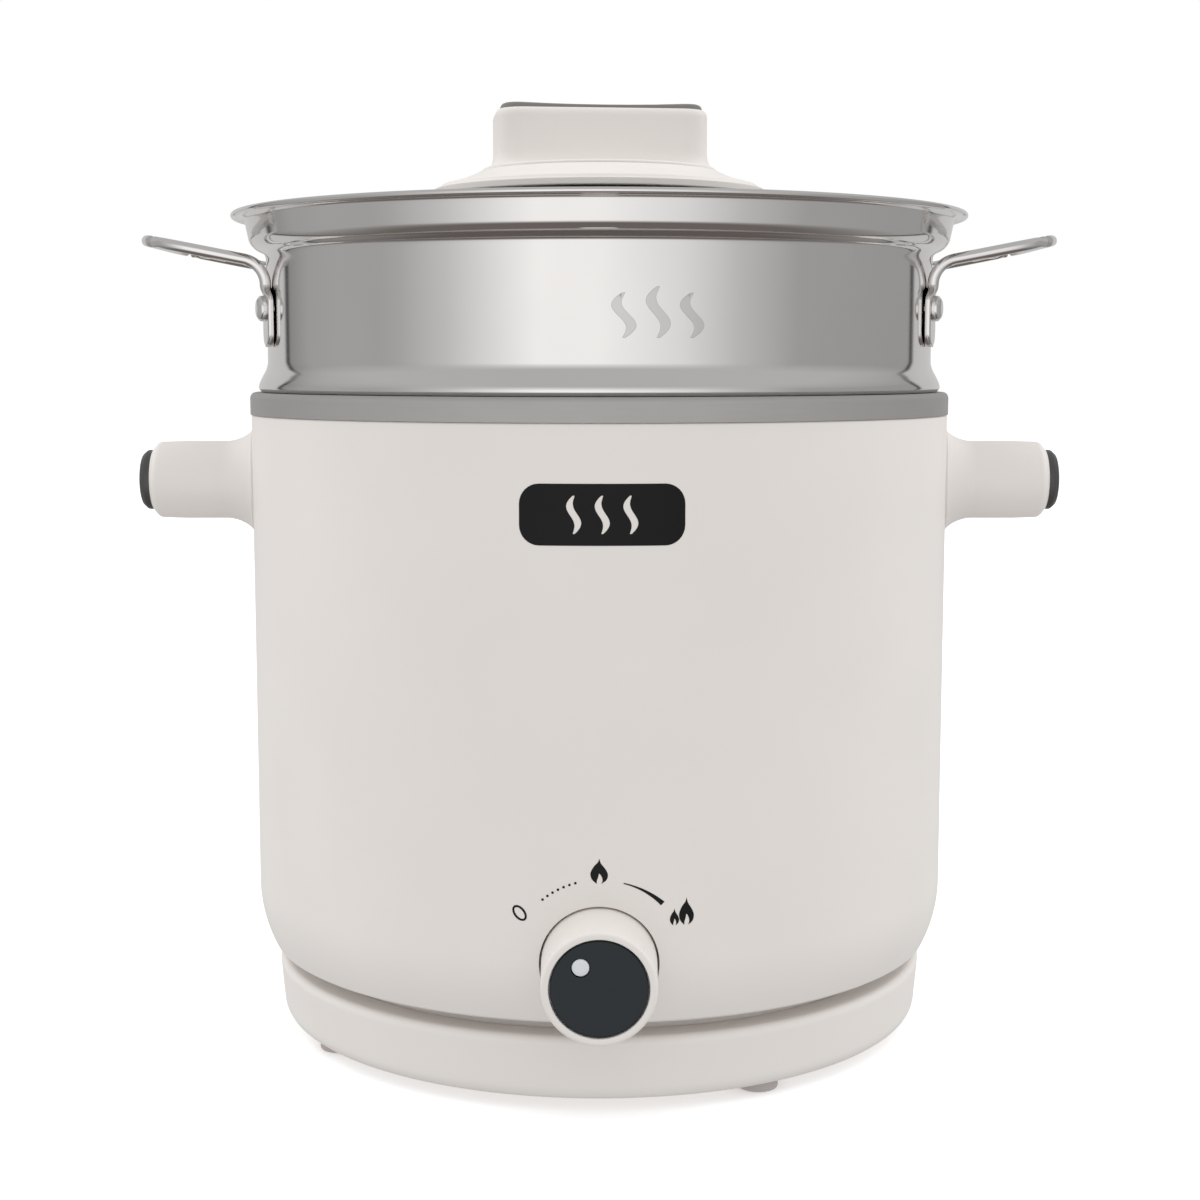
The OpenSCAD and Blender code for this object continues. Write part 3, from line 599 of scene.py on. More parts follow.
def base():
    outline = rounded([
        (0, BASE_Z), (BASE_R - 1.6, BASE_Z, 4.4), (BASE_R, BASE_TOP, 2), (NECK_R + 0.3, BASE_TOP, 0.5),
        (NECK_R + 0.3, BASE_TOP - 2.5), (BASE_R - 2.9, BASE_TOP - 2.5), (BASE_R - 4.3, BASE_Z + 4),
        (BASE_R - 6, BASE_Z + 2.5), (0, BASE_Z + 2.5)])
    shell = lathe("base_cover_shell", rows(outline, 8), 256)
    bosses = [rod(4, BASE_Z + 2.2, UNDER - 0.01, at_polar(BOSS_CIRCLE, 45 + 90 * i)) for i in range(4)]
    weld(shell, *bosses)
    wells = [rod(3.2, BASE_Z - 1, BASE_Z + 11, at_polar(BOSS_CIRCLE, 45 + 90 * i)) for i in range(4)]
    sockets = [rod(2.05, BASE_Z - 1, BASE_Z + 9, at_polar(FOOT_CIRCLE, 30 + 90 * i), 32) for i in range(4)]
    vents = [loft_rects("vent", [(16, 3, 1.4, BASE_Z - 1), (16, 3, 1.4, BASE_Z + 9)], at_polar(42, 30 * i))
             for i in range(12)]
    cut(shell, *wells, *sockets, *vents)
    stands_for(shell, "base_cover")


def feet():
    outline = rounded([
        (0, 0.5), (3.2, 0.5, 0.3), (3.7, 0, 0.25), (5.5, 0, 0.9), (5.5, BASE_Z, 0.2), (2, BASE_Z),
        (2, BASE_Z + 2.6), (2.6, BASE_Z + 2.8, 0.2), (1.6, BASE_Z + 4.3, 0.5), (0, BASE_Z + 4.3)])
    for i in range(4):
        foot = lathe(f"rubber_foot_{i + 1}", outline, 64, matrix=at_polar(FOOT_CIRCLE, 30 + 90 * i))
        stands_for(foot, f"foot_{i + 1}")


def cross_screw(r, h, shank_r, shank, matrix):
    """A pan-head screw whose head starts at height 0 and whose shank goes up; its recess is a cross."""
    outline = rounded([(0, 0), (r, 0, 0.45 * h), (r, h, 0.1), (shank_r, h), (shank_r, h + shank, 0.3),
                       (0, h + shank)])
    screw = lathe("screw", outline, 48, matrix=matrix)
    arms = [box(-0.6 * r, 0.6 * r, -0.16 * r, 0.16 * r, -1, 0.55 * h, matrix @ Matrix.Rotation(a, 4, "Z"))
            for a in (0, pi / 2)]
    cut(screw, arms[0])
    return cut(screw, arms[1])


def base_screws():
    screws = [cross_screw(3, 2.2, 1.5, 18, at_polar(BOSS_CIRCLE, 45 + 90 * i, BASE_Z + 8.8))
              for i in range(4)]
    stands_for(joined("base_cross_screws", screws), "base_screws")


# ---- Inner pot ----

def pot():
    path = rounded([(0, POT_UNDER), (POT_R, POT_UNDER, 8), (POT_R, BAND_TOP - 1, 1.6),
                    (BAND_R - 1, BAND_TOP - 1, 0.6), (BAND_R - 1, BODY_TOP)], closed=False)
    outline = path + list(reversed(offset(path, 1)))
    outline[-1] = (0, outline[-1][1])
    stands_for(lathe("inner_pot_shell", rows(outline, 8), 256), "inner_pot")


# ---- Side handles ----

def side_handle(side, turned):
    """A round grip whose flared root follows the housing's curve."""
    profile = [(0, BODY_R + 0.02), (GRIP_R + 0.9, BODY_R + 0.02), (GRIP_R + 4.2, BODY_R + 0.02)]
    profile += [(GRIP_R + 4.3, BODY_R + 0.5)]
    profile += [(GRIP_R + 4.3 * (1 - sin(radians(a))) ** 1.6, BODY_R + 0.5 + 8 * sin(radians(a)) ** 1.4)
                for a in range(6, 91, 6)]
    profile += [(GRIP_R, BODY_R + 12), (GRIP_R, BODY_R + 20)]
    profile += rounded([(GRIP_R, BODY_R + 21), (GRIP_R - 0.25, GRIP_END - 1.8, 2),
                        (GRIP_R - 2.4, GRIP_END, 1.2), (0, GRIP_END)], closed=False)
    segments = 128
    points, rings = [], []
    for r, x in profile:
        fade = max(0.0, 1 - (x - BODY_R) / 14) ** 2
        ring = []
        for k in range(1 if r < 1e-6 else segments):
            y, z = r * cos(2 * pi * k / segments), r * sin(2 * pi * k / segments)
            sag = sqrt((BODY_R + 0.02) ** 2 - y * y) - BODY_R - 0.02
            ring.append(len(points))
            points.append((x + sag * fade, y, GRIP_Z + z))
        rings.append(ring * segments if len(ring) == 1 else ring)
    faces = skin(rings, caps=False)
    grip = make(f"{side}_grip", points, faces, Matrix.Rotation(radians(turned), 4, "Z"))
    stands_for(grip, f"{side}_handle")
    cap = lathe(f"{side}_end_cap", rounded([
        (0, GRIP_END - 8), (3, GRIP_END - 8, 0.5), (3, GRIP_END), (8.65, GRIP_END),
        (8.65, CAP_END - 1.5, 1.2), (7.3, CAP_END, 1.4), (0, CAP_END)]), 96,
        matrix=along_side(GRIP_Z, turned))
    stands_for(cap, f"{side}_handle_cap")
    dress(cap, "cap_plastic")


# ---- Control knob ----

def control_knob():
    place = along_front(z=DIAL_Z)
    hub, web, cap_r = BODY_R + 1, DIAL_FRONT - 4, 12.0
    sleeve = lathe("knob_sleeve_shell", rows(rounded([
        (3.05, hub, 0.2), (5.6, hub, 0.3), (5.6, web), (cap_r + 0.2, web), (cap_r + 0.6, DIAL_SEAT + 0.5),
        (DIAL_R, DIAL_SEAT + 0.5, 0.3), (DIAL_R - 0.5, DIAL_FRONT, 1.2), (cap_r + 0.35, DIAL_FRONT, 0.35),
        (cap_r + 0.25, DIAL_FRONT - 2), (3.05, DIAL_FRONT - 2)]), 6), 160, matrix=place)
    stands_for(sleeve, "knob_sleeve")
    cap = lathe("knob_face", rounded([
        (0, DIAL_FRONT - 2), (cap_r, DIAL_FRONT - 2, 0.1), (cap_r, DIAL_FRONT - 0.45, 0.35),
        (0, DIAL_FRONT - 0.45)]), 128, matrix=place)
    x = (low("knob_pointer").x + high("knob_pointer").x) / 2
    z = (low("knob_pointer").z + high("knob_pointer").z) / 2
    dot = along_front(x, z)
    cut(cap, rod(2.4, DIAL_FRONT - 1.4, DIAL_FRONT + 1, dot, 64))
    stands_for(cap, "knob_cap")
    pointer = lathe("knob_dot", rounded([
        (0, DIAL_FRONT - 1.38), (2.15, DIAL_FRONT - 1.38, 0.1), (2.15, DIAL_FRONT - 0.5, 0.3),
        (1.2, DIAL_FRONT - 0.28, 0.8), (0, DIAL_FRONT - 0.25)]), 64, matrix=dot)
    stands_for(pointer, "knob_pointer")


# ---- Power inlet ----

def inlet():
    w, d = 24.6, 17
    floor, front = BODY_R + 0.5, INLET_FRONT
    flange = PAD_Y + 2.5
    levels = [
        (w - 2, d - 2, 1.5, floor), (w, d, 2.5, floor + 0.4), (w, d, 2.5, front - 0.7),
        (w + 0.6, d + 0.6, 2.7, front - 0.15),
        (w + 1.4, d + 1.4, 2.9, front), (w + 5, d + 5, 2.9, front), (w + 6, d + 6, 3, front - 0.2),
        (w + 6.4, d + 6.4, 3, front - 0.8), (w + 6.4, d + 6.4, 3, flange + 0.8),
        (w + 6.8, d + 6.8, 3.2, flange + 0.25),
        (w + 7.8, d + 7.6, 3.5, flange), (48.8, 25.8, 3.6, flange), (49.7, 26.7, 3.9, flange - 0.3),
        (50, 27, 4, flange - 0.9), (50, 27, 4, PAD_Y + 0.01), (28, 20.4, 2, PAD_Y + 0.01),
        (28, 20.4, 2, INLET_IN)]
    stands_for(loft_rects("inlet_body", levels, from_back()), "power_inlet")
    pins = []
    for k in (-1, 0, 1):
        place = Matrix.Translation((7 * k, 0, 2.5 if k == 0 else -1.5)) @ from_back()
        tip = floor + 14
        pins.append(loft_rects("pin", [(2, 4, 0.15, INLET_IN - 6), (2, 4, 0.15, tip - 1.6),
                                       (1.6, 3.6, 0.2, tip - 0.5), (0.9, 2.8, 0.2, tip)], place))
    stands_for(joined("inlet_blades", pins), "inlet_pins")
    inwards = Matrix.Rotation(radians(90), 4, "X")
    screws = [cross_screw(2.8, 1.8, 1.5, 7, Matrix.Translation((x, flange + 1.8, INLET_Z)) @ inwards)
              for x in (-20, 20)]
    stands_for(joined("inlet_cross_screws", screws), "inlet_screws")


# ---- Steamer ----

FLOOR_R = 84.0
STEAM_SEGMENTS = 256


def steamer():
    nest = BODY_R - 8.1
    step = BAND_TOP + 0.1
    path = rounded([(FLOOR_R, NEST_Z), (nest, NEST_Z, 4), (nest, step, 0.7), (STEAM_R + 1.4, step)],
                   closed=False)
    path += curve([
        (STEAM_R + 1.9, step + 0.1), (STEAM_R + 2.6, step + 0.9), (STEAM_R + 2.6, step + 1.8),
        (STEAM_R + 2.2, WALL_Z - 5), (STEAM_R + 1.4, WALL_Z - 3.4), (STEAM_R + 0.55, WALL_Z - 1.8),
        (STEAM_R + 0.05, WALL_Z), (STEAM_R, WALL_Z + 2)])
    path += curve([
        (STEAM_R, WALL_TOP - 4), (STEAM_R, WALL_TOP - 2.7), (STEAM_R + 0.15, WALL_TOP),
        (STEAM_R + 0.9, WALL_TOP + 1.2),
        (STEAM_R + 3, WALL_TOP + 2.3), (STEAM_R + 4.5, WALL_TOP + 4), (BODY_R + 0.1, WALL_TOP + 5.8),
        (BODY_R + 0.9, WALL_TOP + 9.6), (BODY_R + 1.3, WALL_TOP + 10.4), (BODY_R + 2.1, WALL_TOP + 10.9),
        (BODY_R + 2.7, WALL_TOP + 10.95)])
    lip = arc(LIP_OUT - LIP_R, LIP_TOP - LIP_R, LIP_R, -150, 168, 26)
    outline = path + lip + list(reversed(offset(path, 0.8)))
    wall_points, wall_faces = lathe_data(open_rows(outline, 6), STEAM_SEGMENTS, closed=False)
    rim = arc(0, 0, FLOOR_R, 0, 360, STEAM_SEGMENTS)[:-1]
    centres = [(0, 0)] + [(13 * k * cos(2 * pi * i / (6 * k)), 13 * k * sin(2 * pi * i / (6 * k)))
                          for k in range(1, 7) for i in range(6 * k)]
    holes = [arc(x, y, 2, 0, 360, 24)[:-1] for x, y in centres]
    flat, triangles, loops = flat_faces(rim, holes)
    count = len(flat)
    points = [(x, y, z) for z in (NEST_Z, NEST_Z + 0.8) for x, y in flat]
    faces = [list(reversed(t)) for t in triangles] + [[i + count for i in t] for t in triangles]
    for loop in loops[1:]:
        faces += [[a, b, b + count, a + count] for a, b in zip(loop, loop[1:] + loop[:1])]
    faces += [[i + len(points) for i in f] for f in wall_faces]
    stands_for(make("steamer_bowl", points + wall_points, faces), "steamer_body")


def open_rows(path, longest):
    """As rows, for a path that doesn't close."""
    closed = rows(path, longest)
    end = max(i for i, p in enumerate(closed) if p == path[-1])
    return closed[:end + 1]


def handle_path():
    """Half of a wire handle: (centre, half width, half thickness, direction across) from the tongue's foot up
    its leg, round the bend, out along the slope, and round the corner to the middle of the cross bar."""
    leg_y, bend, corner = LOOP_HALF, LOOP_BEND, LOOP_CORNER
    slope = radians(LOOP_SLOPE)
    leg_x = sqrt((STEAM_R + WIRE_R + 0.1) ** 2 - leg_y ** 2)
    top = RIVET_Z + LOOP_RISE
    sideways = Vector((0, 1, 0))
    reach = bend * tan((pi / 2 - slope) / 2)
    length = (LOOP_TIP - WIRE_R - leg_x) / cos(slope)
    out = Vector((cos(radians(RIVET_ANGLE)), sin(radians(RIVET_ANGLE)), 0))
    across = Vector((-out.y, out.x, 0))
    foot, tongue_top = RIVET_Z - 10.5, RIVET_Z + 4
    stations = []
    plate = out * (STEAM_R + 1.05)
    for a in (4, 15, 30, 45, 60, 75, 90):
        z = foot + TONGUE_HALF * (1 - cos(radians(a)))
        stations.append((plate + Vector((0, 0, z)), TONGUE_HALF * sin(radians(a)), TONGUE_T, across))
    for z in (foot + 6, RIVET_Z, tongue_top - 2):
        stations.append((plate + Vector((0, 0, z)), TONGUE_HALF, TONGUE_T, across))
    leg = Vector((leg_x, leg_y, 0))
    for i in range(1, 9):
        t = i / 8
        s = t * t * (3 - 2 * t)
        z = tongue_top - 2 + (top - reach - tongue_top + 2) * t
        stations.append((plate.lerp(leg, s) + Vector((0, 0, z)), TONGUE_HALF + (WIRE_R - TONGUE_HALF) * s,
                         TONGUE_T + (WIRE_R - TONGUE_T) * s, across.lerp(sideways, s)))
    centre = Vector((leg_x + bend, leg_y, top - reach))
    for i in range(1, 11):
        a = pi - (pi / 2 - slope) * i / 10
        stations.append((centre + Vector((bend * cos(a), 0, bend * sin(a))), WIRE_R, WIRE_R, sideways))
    start = Vector((leg_x, 0, top))
    along = Vector((cos(slope), 0, sin(slope)))
    for i in range(1, 5):
        d = reach + (length - corner - reach) * i / 4
        stations.append((start + along * d + Vector((0, leg_y, 0)), WIRE_R, WIRE_R, sideways))
    for i in range(1, 9):
        a = pi / 2 * i / 8
        centre = start + along * (length - corner + corner * sin(a))
        centre = centre + Vector((0, leg_y - corner + corner * cos(a), 0))
        stations.append((centre, WIRE_R, WIRE_R, along * -sin(a) + Vector((0, cos(a), 0))))
    stations.append((start + along * length, WIRE_R, WIRE_R, -along))
    return stations


def steamer_handle(side, turned):
    half = handle_path()
    mirror = [(Vector((c.x, -c.y, c.z)), a, b, Vector((d.x, -d.y, d.z)))
              for c, a, b, d in reversed(half[:-1])]
    stations = half + mirror
    sides = 32
    points, rings = [], []
    for i, (centre, a, b, across) in enumerate(stations):
        ahead = stations[min(i + 1, len(stations) - 1)][0] - stations[max(i - 1, 0)][0]
        across = (across - ahead * (across.dot(ahead) / ahead.length_squared)).normalized()
        normal = ahead.cross(across).normalized()
        flatness = min(1.0, max(0.0, (a - WIRE_R) / 1.5)) if b < WIRE_R - 0.05 else 0
        power = 1 - 0.65 * flatness
        ring = []
        for k in range(sides):
            u, v = cos(2 * pi * k / sides), sin(2 * pi * k / sides)
            u = abs(u) ** power * (1 if u > 0 else -1)
            v = abs(v) ** power * (1 if v > 0 else -1)
            ring.append(len(points))
            points.append(centre + across * a * u + normal * b * v)
        rings.append(ring)
    loop = make(f"{side}_wire_handle", points, skin(rings), Matrix.Rotation(radians(turned), 4, "Z"), 40)
    stands_for(loop, f"{side}_steamer_handle")


def rivets():
    outline = rounded([
        (0, STEAM_R - 2.4), (3.5, STEAM_R - 2.4, 1), (3.5, STEAM_R - 1.2), (2, STEAM_R - 1.2),
        (2, STEAM_R + 1.95), (3.5, STEAM_R + 1.95, 0.1), (3.5, STEAM_R + 3.3, 0.8),
        (2.3, STEAM_R + 4.3, 1.6), (0, STEAM_R + 4.4)])
    made = [lathe("rivet", outline, 48, matrix=along_side(RIVET_Z, turned + a))
            for turned in (0, 180) for a in (-RIVET_ANGLE, RIVET_ANGLE)]
    stands_for(joined("handle_rivets", made), "steamer_rivets")


# ---- Lid ----

def dome(r, drop=0):
    return DOME_C + sqrt((DOME_R - drop) ** 2 - r * r)


def vent_place():
    return (Matrix.Translation((0, 0, DOME_C)) @ Matrix.Rotation(radians(115), 4, "Z")
            @ Matrix.Rotation(asin(62 / DOME_R), 4, "Y"))


def lid():
    steps = 26
    radii = [4 + (GLASS_R - 0.6 - 4) * i / steps for i in range(steps + 1)]
    top = [(r, dome(r)) for r in radii]
    top += [(GLASS_R - 0.15, dome(GLASS_R) - 0.12), (GLASS_R, dome(GLASS_R) - 0.6)]
    bottom = [(GLASS_R, dome(GLASS_R, GLASS_T) + 0.6), (GLASS_R - 0.15, dome(GLASS_R, GLASS_T) + 0.12)]
    bottom += [(r, dome(r, GLASS_T)) for r in reversed(radii)]
    glass = lathe("lid_glass_dome", top + bottom, 192)
    cut(glass, rod(3, DOME_R - 10, DOME_R + 10, vent_place(), 48))
    stands_for(glass, "lid_glass")
    z = RIM_Z
    rim = lathe("lid_rim_band", rounded([
        (GLASS_R - 2, z + 0.56, 0.1), (GLASS_R + 0.1, z + 0.2), (GLASS_R + 0.1, z - GLASS_T - 0.1),
        (GLASS_R - 2, z - GLASS_T + 0.22), (GLASS_R - 2, z - GLASS_T - 0.35, 0.15),
        (GLASS_R + 0.9, z - GLASS_T - 0.35), (GLASS_R + 0.9, LEDGE_Z, 0.2), (GLASS_R + 2.2, LEDGE_Z, 0.4),
        (GLASS_R + 3.4, LEDGE_Z + 1.6, 1), (GLASS_R + 3.4, z + 1.13, 0.8),
        (GLASS_R - 2, z + 1.15, 0.2)]), 256)
    stands_for(rim, "lid_rim")
    low_z = DOME_R - GLASS_T
    vent = lathe("vent_grommet", rounded([
        (1.5, low_z - 0.85, 0.3), (5, low_z - 0.85, 0.3), (5, low_z - 0.05, 0.2), (2.95, low_z - 0.05),
        (2.95, DOME_R), (5, DOME_R, 0.1), (5, DOME_R + 0.8, 0.5), (1.5, DOME_R + 0.8, 0.4)]), 64,
        matrix=vent_place())
    stands_for(vent, "lid_vent")
    on_dome = [(r, dome(r) + 0.05) for r in range(26, 45, 3)]
    seal = lathe("knob_gasket", [(26, FOOT_Z), *on_dome, (44, FOOT_Z)], 128)
    stands_for(seal, "lid_gasket")


def knob_foot():
    foot_r, z = 47.4, FOOT_Z
    outline = rounded([(2.5, z + 1), (24, z + 1), (24, z), (44.6, z), (44.6, z - 0.9), (foot_r, z - 0.9, 0.4),
                       (foot_r, z + 1.15, 0.4), (45.9, z + 1.25, 0.2), (45.5, z + 2, 0.2), (44.9, z + 2.4)],
                      closed=False)
    outline += curve([(43.9, z + 2.7), (40.3, z + 3.6), (37.8, z + 4.5), (36, z + 5.3), (34.4, KNOB_Z)])
    stands_for(lathe("knob_foot_disc", outline + [(2.5, KNOB_Z)], 192), "lid_knob_foot")


def lid_knob():
    w, d, disc = KNOB_W, KNOB_D, 33.6
    ledge = KNOB_Z + 0.95
    place = Matrix.Rotation(radians(KNOB_TURN), 4, "Z")
    levels = [(2 * disc - 0.6, 2 * disc - 0.6, disc - 0.3, KNOB_Z), (2 * disc, 2 * disc, disc, KNOB_Z + 0.25),
              (2 * disc, 2 * disc, disc, KNOB_Z + 0.6),
              (2 * disc - 0.5, 2 * disc - 0.5, disc - 0.25, ledge - 0.08),
              (2 * disc - 1.0, 2 * disc - 1.0, disc - 0.5, ledge)]
    flare_w, flare_h = 2.0, 4.5
    for a in range(0, 91, 15):
        grow = 2 * flare_w * (1 - sin(radians(a)))
        levels.append((w + grow, d + grow, 8 + grow / 2, ledge + 0.02 + flare_h * (1 - cos(radians(a)))))
    levels += [(w, d, 8, KNOB_TOP - 2.6), (w, d, 8, KNOB_TOP - 2.2)]
    for a in range(15, 91, 15):
        shrink = 2 * 1.3 * (1 - cos(radians(a)))
        levels.append((w - shrink, d - shrink, 8 - shrink / 2, KNOB_TOP - 2.2 + 2.2 * sin(radians(a))))
    levels.append((w - 2.6, d - 2.6, 6.7, KNOB_TOP - 1.5))
    knob = loft_rects("lid_knob_bar", levels, place)
    cut(knob, rod(2.45, KNOB_Z - 1, KNOB_Z + 13, Matrix.Identity(4), 32))
    stands_for(knob, "lid_knob")


def lid_knob_insert():
    """The grey pad in the knob's top, its middle dipped."""
    dip = 0.8
    end = (KNOB_W - 6) / 2
    w, d = KNOB_W - 2.8, KNOB_D - 2.8
    crown_h = INSERT_TOP - KNOB_TOP - 0.75
    levels = [(w, d, 6.6, KNOB_TOP - 1.48), (w, d, 6.6, KNOB_TOP + 0.2),
              (w - 0.5, d - 0.5, 6.4, KNOB_TOP + 0.75)]
    for a in range(15, 91, 15):
        shrink = 0.5 + 5 * (1 - cos(radians(a)))
        z = KNOB_TOP + 0.75 + crown_h * sin(radians(a))
        levels.append((w - shrink, d - shrink, 6.6 - shrink / 2, z))
    levels += [(w - 5.5 - 2 * k, d - 5.5 - 2 * k, max(0.6, 3.8 - k), INSERT_TOP)
               for k in (1, 2, 4, 6, 8, 9.5)]

    def sag(x, y, z):
        depth = (z - KNOB_TOP - 0.75) / crown_h
        return -dip * max(0.0, depth) * max(0.0, 1 - (x / end) ** 2)
    place = Matrix.Rotation(radians(KNOB_TURN), 4, "Z")
    insert = loft_rects("lid_knob_pad", levels, place, bend=sag)
    stands_for(insert, "lid_knob_insert")


# ---- Prints and marks ----

def moved(shape, x, z, angle=0.0, scale=1.0):
    out = []
    for loop in shape:
        turned = [turn2((p[0] * scale, p[1] * scale), radians(angle)) for p in loop]
        out.append([(p.x + x, p.y + z) for p in turned])
    return out


def wisp(h, half, sway):
    """A rising curl of steam, h tall, as one loop."""
    steps = 22
    left, right = [], []
    for i in range(steps + 1):
        t = i / steps
        thick = half * sin(pi * min(1, max(0.0, t * 0.94 + 0.03))) ** 0.6
        x = sway * sin(2 * pi * t)
        left.append((x - thick, h * t))
        right.append((x + thick, h * t))
    return right + list(reversed(left))


def flame(h, wide=1.0):
    """A plain flame with a notch at its foot, h tall."""
    left = curve([(-0.10, 0.0), (-0.29, 0.18), (-0.34, 0.42), (-0.21, 0.68), (-0.05, 0.85), (0.0, 1.0)])
    right = curve([(0.0, 1.0), (0.07, 0.80), (0.24, 0.58), (0.34, 0.36), (0.28, 0.14), (0.08, 0.0)])
    notch = curve([(0.08, 0.0), (0.13, 0.12), (0.10, 0.27), (0.0, 0.40), (-0.04, 0.26), (-0.09, 0.13),
                   (-0.10, 0.0)])
    return [(x * h * wide, z * h) for x, z in left + right[1:] + notch[1:-1]]


def ellipse(a, b, steps=28):
    return [(a * cos(2 * pi * i / steps), b * sin(2 * pi * i / steps)) for i in range(steps)]


def badge():
    """A dark pill on the housing with three curls of steam left open."""
    w, h, x, z = 41.1, 15.2, 0.75, 154.3
    pill = rect_ring(w, h, 5, 8, 1)
    curls = [moved([wisp(9.4, 1.0, 1.0)], k * 7.0, -4.7)[0] for k in (-1, 0, 1)]
    piece = wrapped("front_badge", [moved([pill, *curls], x, z)], BODY_R, 0.05, 0.06)
    trim(piece, "pot", "print")


def dial_marks():
    """Marks round the control knob: zero, a row of even dots, a flame, a swelling arc and a double flame."""
    def at(angle, r):
        return r * sin(radians(angle)), DIAL_Z + r * cos(radians(angle))
    shapes = [moved([ellipse(1.5, 2.3), ellipse(0.95, 1.75)], *at(-57, 24), 40)]
    for k in range(7):
        shapes.append(moved([ellipse(0.33, 0.33, 16)], *at(-40.3 + 4.1 * k, 22)))
    shapes.append(moved([flame(6.4)], *at(0, 21.1)))
    inner, outer = [], []
    for k in range(19):
        t = k / 18
        angle = 16.2 + 29.3 * t
        middle = 22 + 0.4 * t
        half = 0.14 + 0.5 * t ** 1.4
        outer.append(at(angle, middle + half))
        inner.append(at(angle, middle - half))
    shapes.append([outer + list(reversed(inner))])
    x, z = at(57.3, 24.9)
    shapes.append(moved([flame(7.0, 0.8)], x + 1.15, z - 3.5))
    shapes.append(moved([flame(4.3, 0.8)], x - 1.95, z - 3.5))
    piece = wrapped("dial_scale", shapes, BODY_R, 0.05, 0.06, spacing=1.2)
    trim(piece, "pot", "print")


def steamer_mark():
    """Three raised curls of steam on the steamer's wall."""
    shapes = [moved([wisp(12.5 - 1.5 * abs(k), 1.5, 1.8)], 14.5 + k * 8.5, 197.3) for k in (-1, 0, 1)]
    piece = wrapped("steamer_curls", shapes, STEAM_R, 0.15, 0.38, spacing=1.4)
    modifier = piece.modifiers.new("soft edge", "BEVEL")
    modifier.width = 0.25 * MM
    modifier.segments = 3
    modifier.angle_limit = radians(50)
    trim(piece, "steamer", "emboss")


# ---- Stage ----

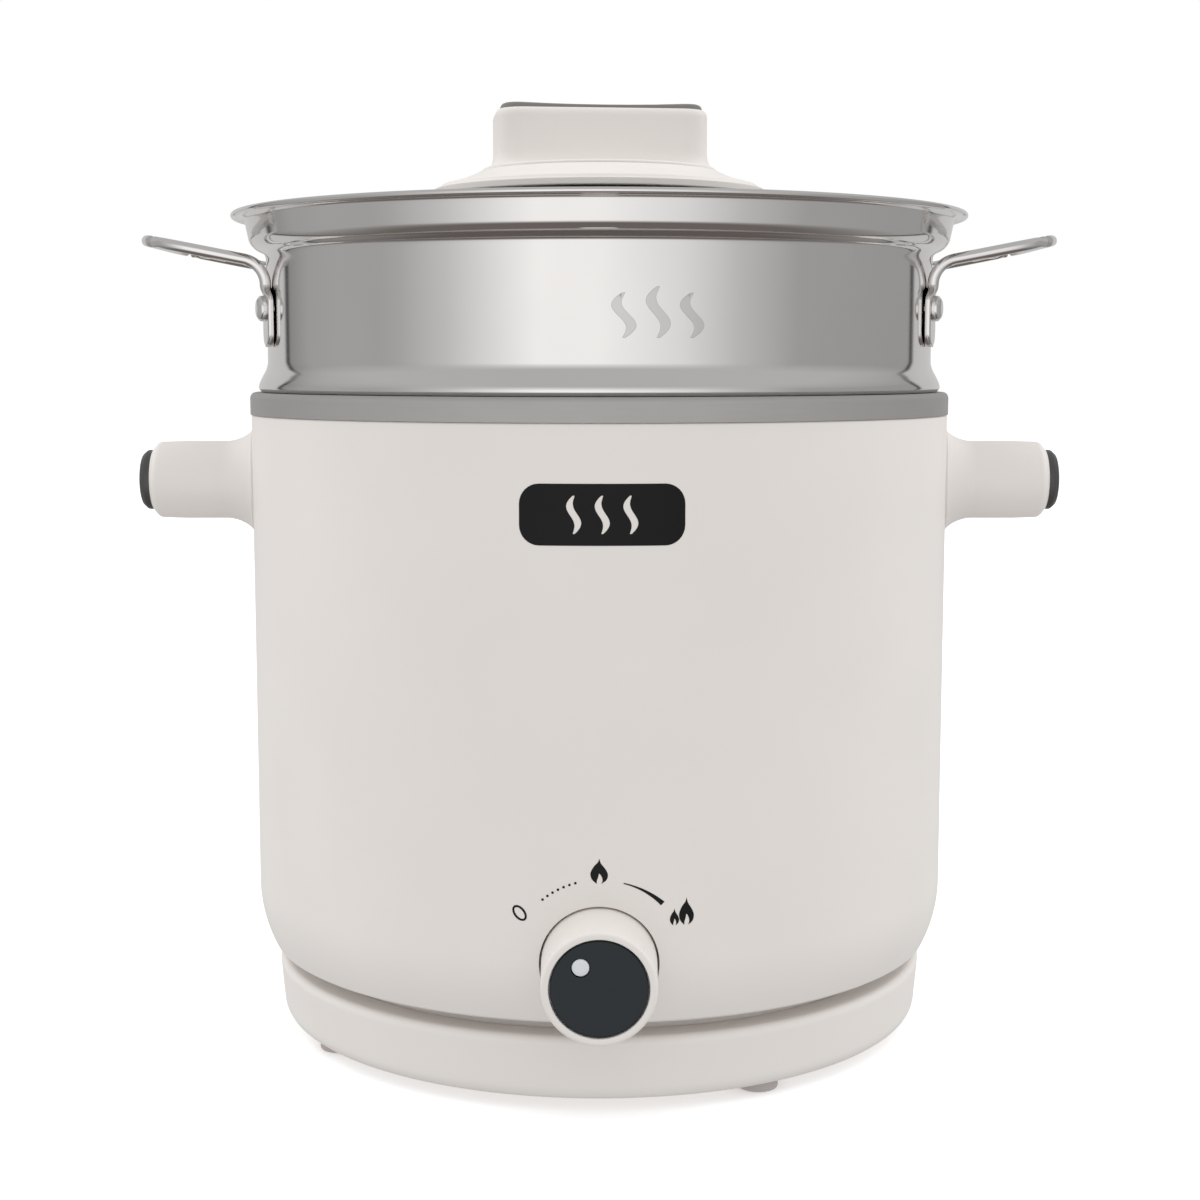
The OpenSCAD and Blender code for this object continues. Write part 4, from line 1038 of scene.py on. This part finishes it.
def sky():
    """Soft studio: white for the eye, even for the matt parts, grey with a bright front for the steel."""
    world = bpy.data.worlds.new("studio")
    scene.world = world
    world.use_nodes = True
    nodes, link = world.node_tree.nodes, world.node_tree.links.new
    nodes.clear()

    def add(kind, **values):
        node = nodes.new(kind)
        for key, value in values.items():
            setattr(node, key, value)
        return node

    def ramp(stops):
        node = add("ShaderNodeValToRGB")
        elements = node.color_ramp.elements
        while len(elements) < len(stops):
            elements.new(0.5)
        for element, (at, value) in zip(elements, stops):
            element.position = at
        for element, (at, value) in zip(elements, stops):
            element.color = (*value, 1) if isinstance(value, tuple) else (value, value, value, 1)
        return node

    place = add("ShaderNodeTexCoord")
    split = add("ShaderNodeSeparateXYZ")
    link(place.outputs["Generated"], split.inputs[0])
    flip = add("ShaderNodeMath", operation="MULTIPLY")
    flip.inputs[1].default_value = -1
    link(split.outputs["Y"], flip.inputs[0])
    turn = add("ShaderNodeMath", operation="ARCTAN2")
    link(split.outputs["X"], turn.inputs[0])
    link(flip.outputs[0], turn.inputs[1])
    share = add("ShaderNodeMapRange")
    share.inputs["From Min"].default_value = -pi
    share.inputs["From Max"].default_value = pi
    link(turn.outputs[0], share.inputs["Value"])
    by_angle = [(-180, 0.62), (-134.5, 0.62), (-133, 0.05), (-131, 0.05), (-129.5, 0.30), (-115, 0.42),
                (-97, 0.45), (-78, 0.44), (-69, 0.48), (-51, 0.66), (-33, 0.93), (-20, 1.13), (0, 1.12),
                (7, 1.06), (27, 0.88), (47, 0.60), (69, 0.42), (93, 0.40), (129.5, 0.38), (131, 0.05),
                (133, 0.05), (134.5, 0.62), (180, 0.62)]
    around = ramp([((a + 180) / 360, v) for a, v in by_angle])
    link(share.outputs[0], around.inputs["Fac"])

    height = add("ShaderNodeMapRange")
    height.inputs["From Min"].default_value = -1
    link(split.outputs["Z"], height.inputs["Value"])
    above = ramp([(0.0, 0.0), (0.5, 0.0), (0.62, 0.0), (0.80, 1.0), (1.0, 1.0)])
    below = ramp([(0.0, 1.0), (0.10, 1.0), (0.27, 0.0), (1.0, 0.0)])
    link(height.outputs[0], above.inputs["Fac"])
    link(height.outputs[0], below.inputs["Fac"])

    def mix(factor, a, b):
        node = add("ShaderNodeMix", data_type="RGBA")
        for socket, value in ((node.inputs[0], factor), (node.inputs[6], a), (node.inputs[7], b)):
            if isinstance(value, tuple):
                socket.default_value = (*value, 1)
            else:
                link(value, socket)
        return node.outputs[2]

    room = mix(above.outputs["Color"], around.outputs["Color"], (0.55, 0.55, 0.55))
    room = mix(below.outputs["Color"], room, (0.17, 0.15, 0.14))
    path = add("ShaderNodeLightPath")
    soft = ramp([(0.0, 0.76), (0.46, 0.78), (0.54, 0.82), (0.75, 1.02), (1.0, 1.12)])
    link(height.outputs[0], soft.inputs["Fac"])
    room = mix(path.outputs["Is Diffuse Ray"], room, soft.outputs["Color"])
    room = mix(path.outputs["Is Camera Ray"], room, (1.0, 1.0, 1.0))
    shine = add("ShaderNodeBackground")
    out = add("ShaderNodeOutputWorld")
    link(room, shine.inputs["Color"])
    link(shine.outputs[0], out.inputs["Surface"])


def soft_light(name, place, target, size, power):
    data = bpy.data.lights.new(name, "AREA")
    data.shape = "RECTANGLE"
    data.size, data.size_y = size
    data.energy = power
    lamp = bpy.data.objects.new(name, data)
    lamp.location = place
    lamp.rotation_euler = (Vector(target) - Vector(place)).to_track_quat("-Z", "Y").to_euler()
    lamp.visible_glossy = False
    lamp.visible_camera = False
    scene.collection.objects.link(lamp)


def stage():
    sky()
    middle = (0, 0, 0.13)
    soft_light("left_soft", (-1.3, 0.55, 0.7), middle, (1.4, 1.6), 8.0)
    soft_light("right_soft", (1.3, 0.55, 0.7), middle, (1.4, 1.6), 8.0)
    soft_light("top_soft", (0, -0.3, 1.7), middle, (1.8, 1.6), 3.0)
    half = 12.0
    mesh = bpy.data.meshes.new("floor")
    corners = [(-half, -half, 0), (half, -half, 0), (half, half, 0), (-half, half, 0)]
    mesh.from_pydata(corners, [], [(0, 1, 2, 3)])
    floor = bpy.data.objects.new("floor", mesh)
    scene.collection.objects.link(floor)
    pale = material("floor", (0.975, 0.975, 0.975), 0.9, cloud=2, grain=200, mottle=0.004, bump=0.02,
                    Specular_IOR_Level=0.0, Emission_Color=(1, 1, 1, 1), Emission_Strength=0.25)
    floor.data.materials.append(pale)
    floor.visible_glossy = False
    floor.visible_diffuse = False
    scene.view_settings.view_transform = "Standard"


make_camera()
finishes = make_finishes()
housing()
base()
feet()
base_screws()
pot()
for side_name, side_turn in (("right", 0), ("left", 180)):
    side_handle(side_name, side_turn)
    steamer_handle(side_name, side_turn)
control_knob()
inlet()
steamer()
rivets()
lid()
knob_foot()
lid_knob()
lid_knob_insert()
badge()
dial_marks()
steamer_mark()
for node_name, node_object in frame["nodes"].items():
    if not node_object.hide_render:
        for node_slot in node_object.material_slots:
            node_slot.material = finishes[slot_of_node[node_name]]
stage()

bpy.context.view_layer.update()
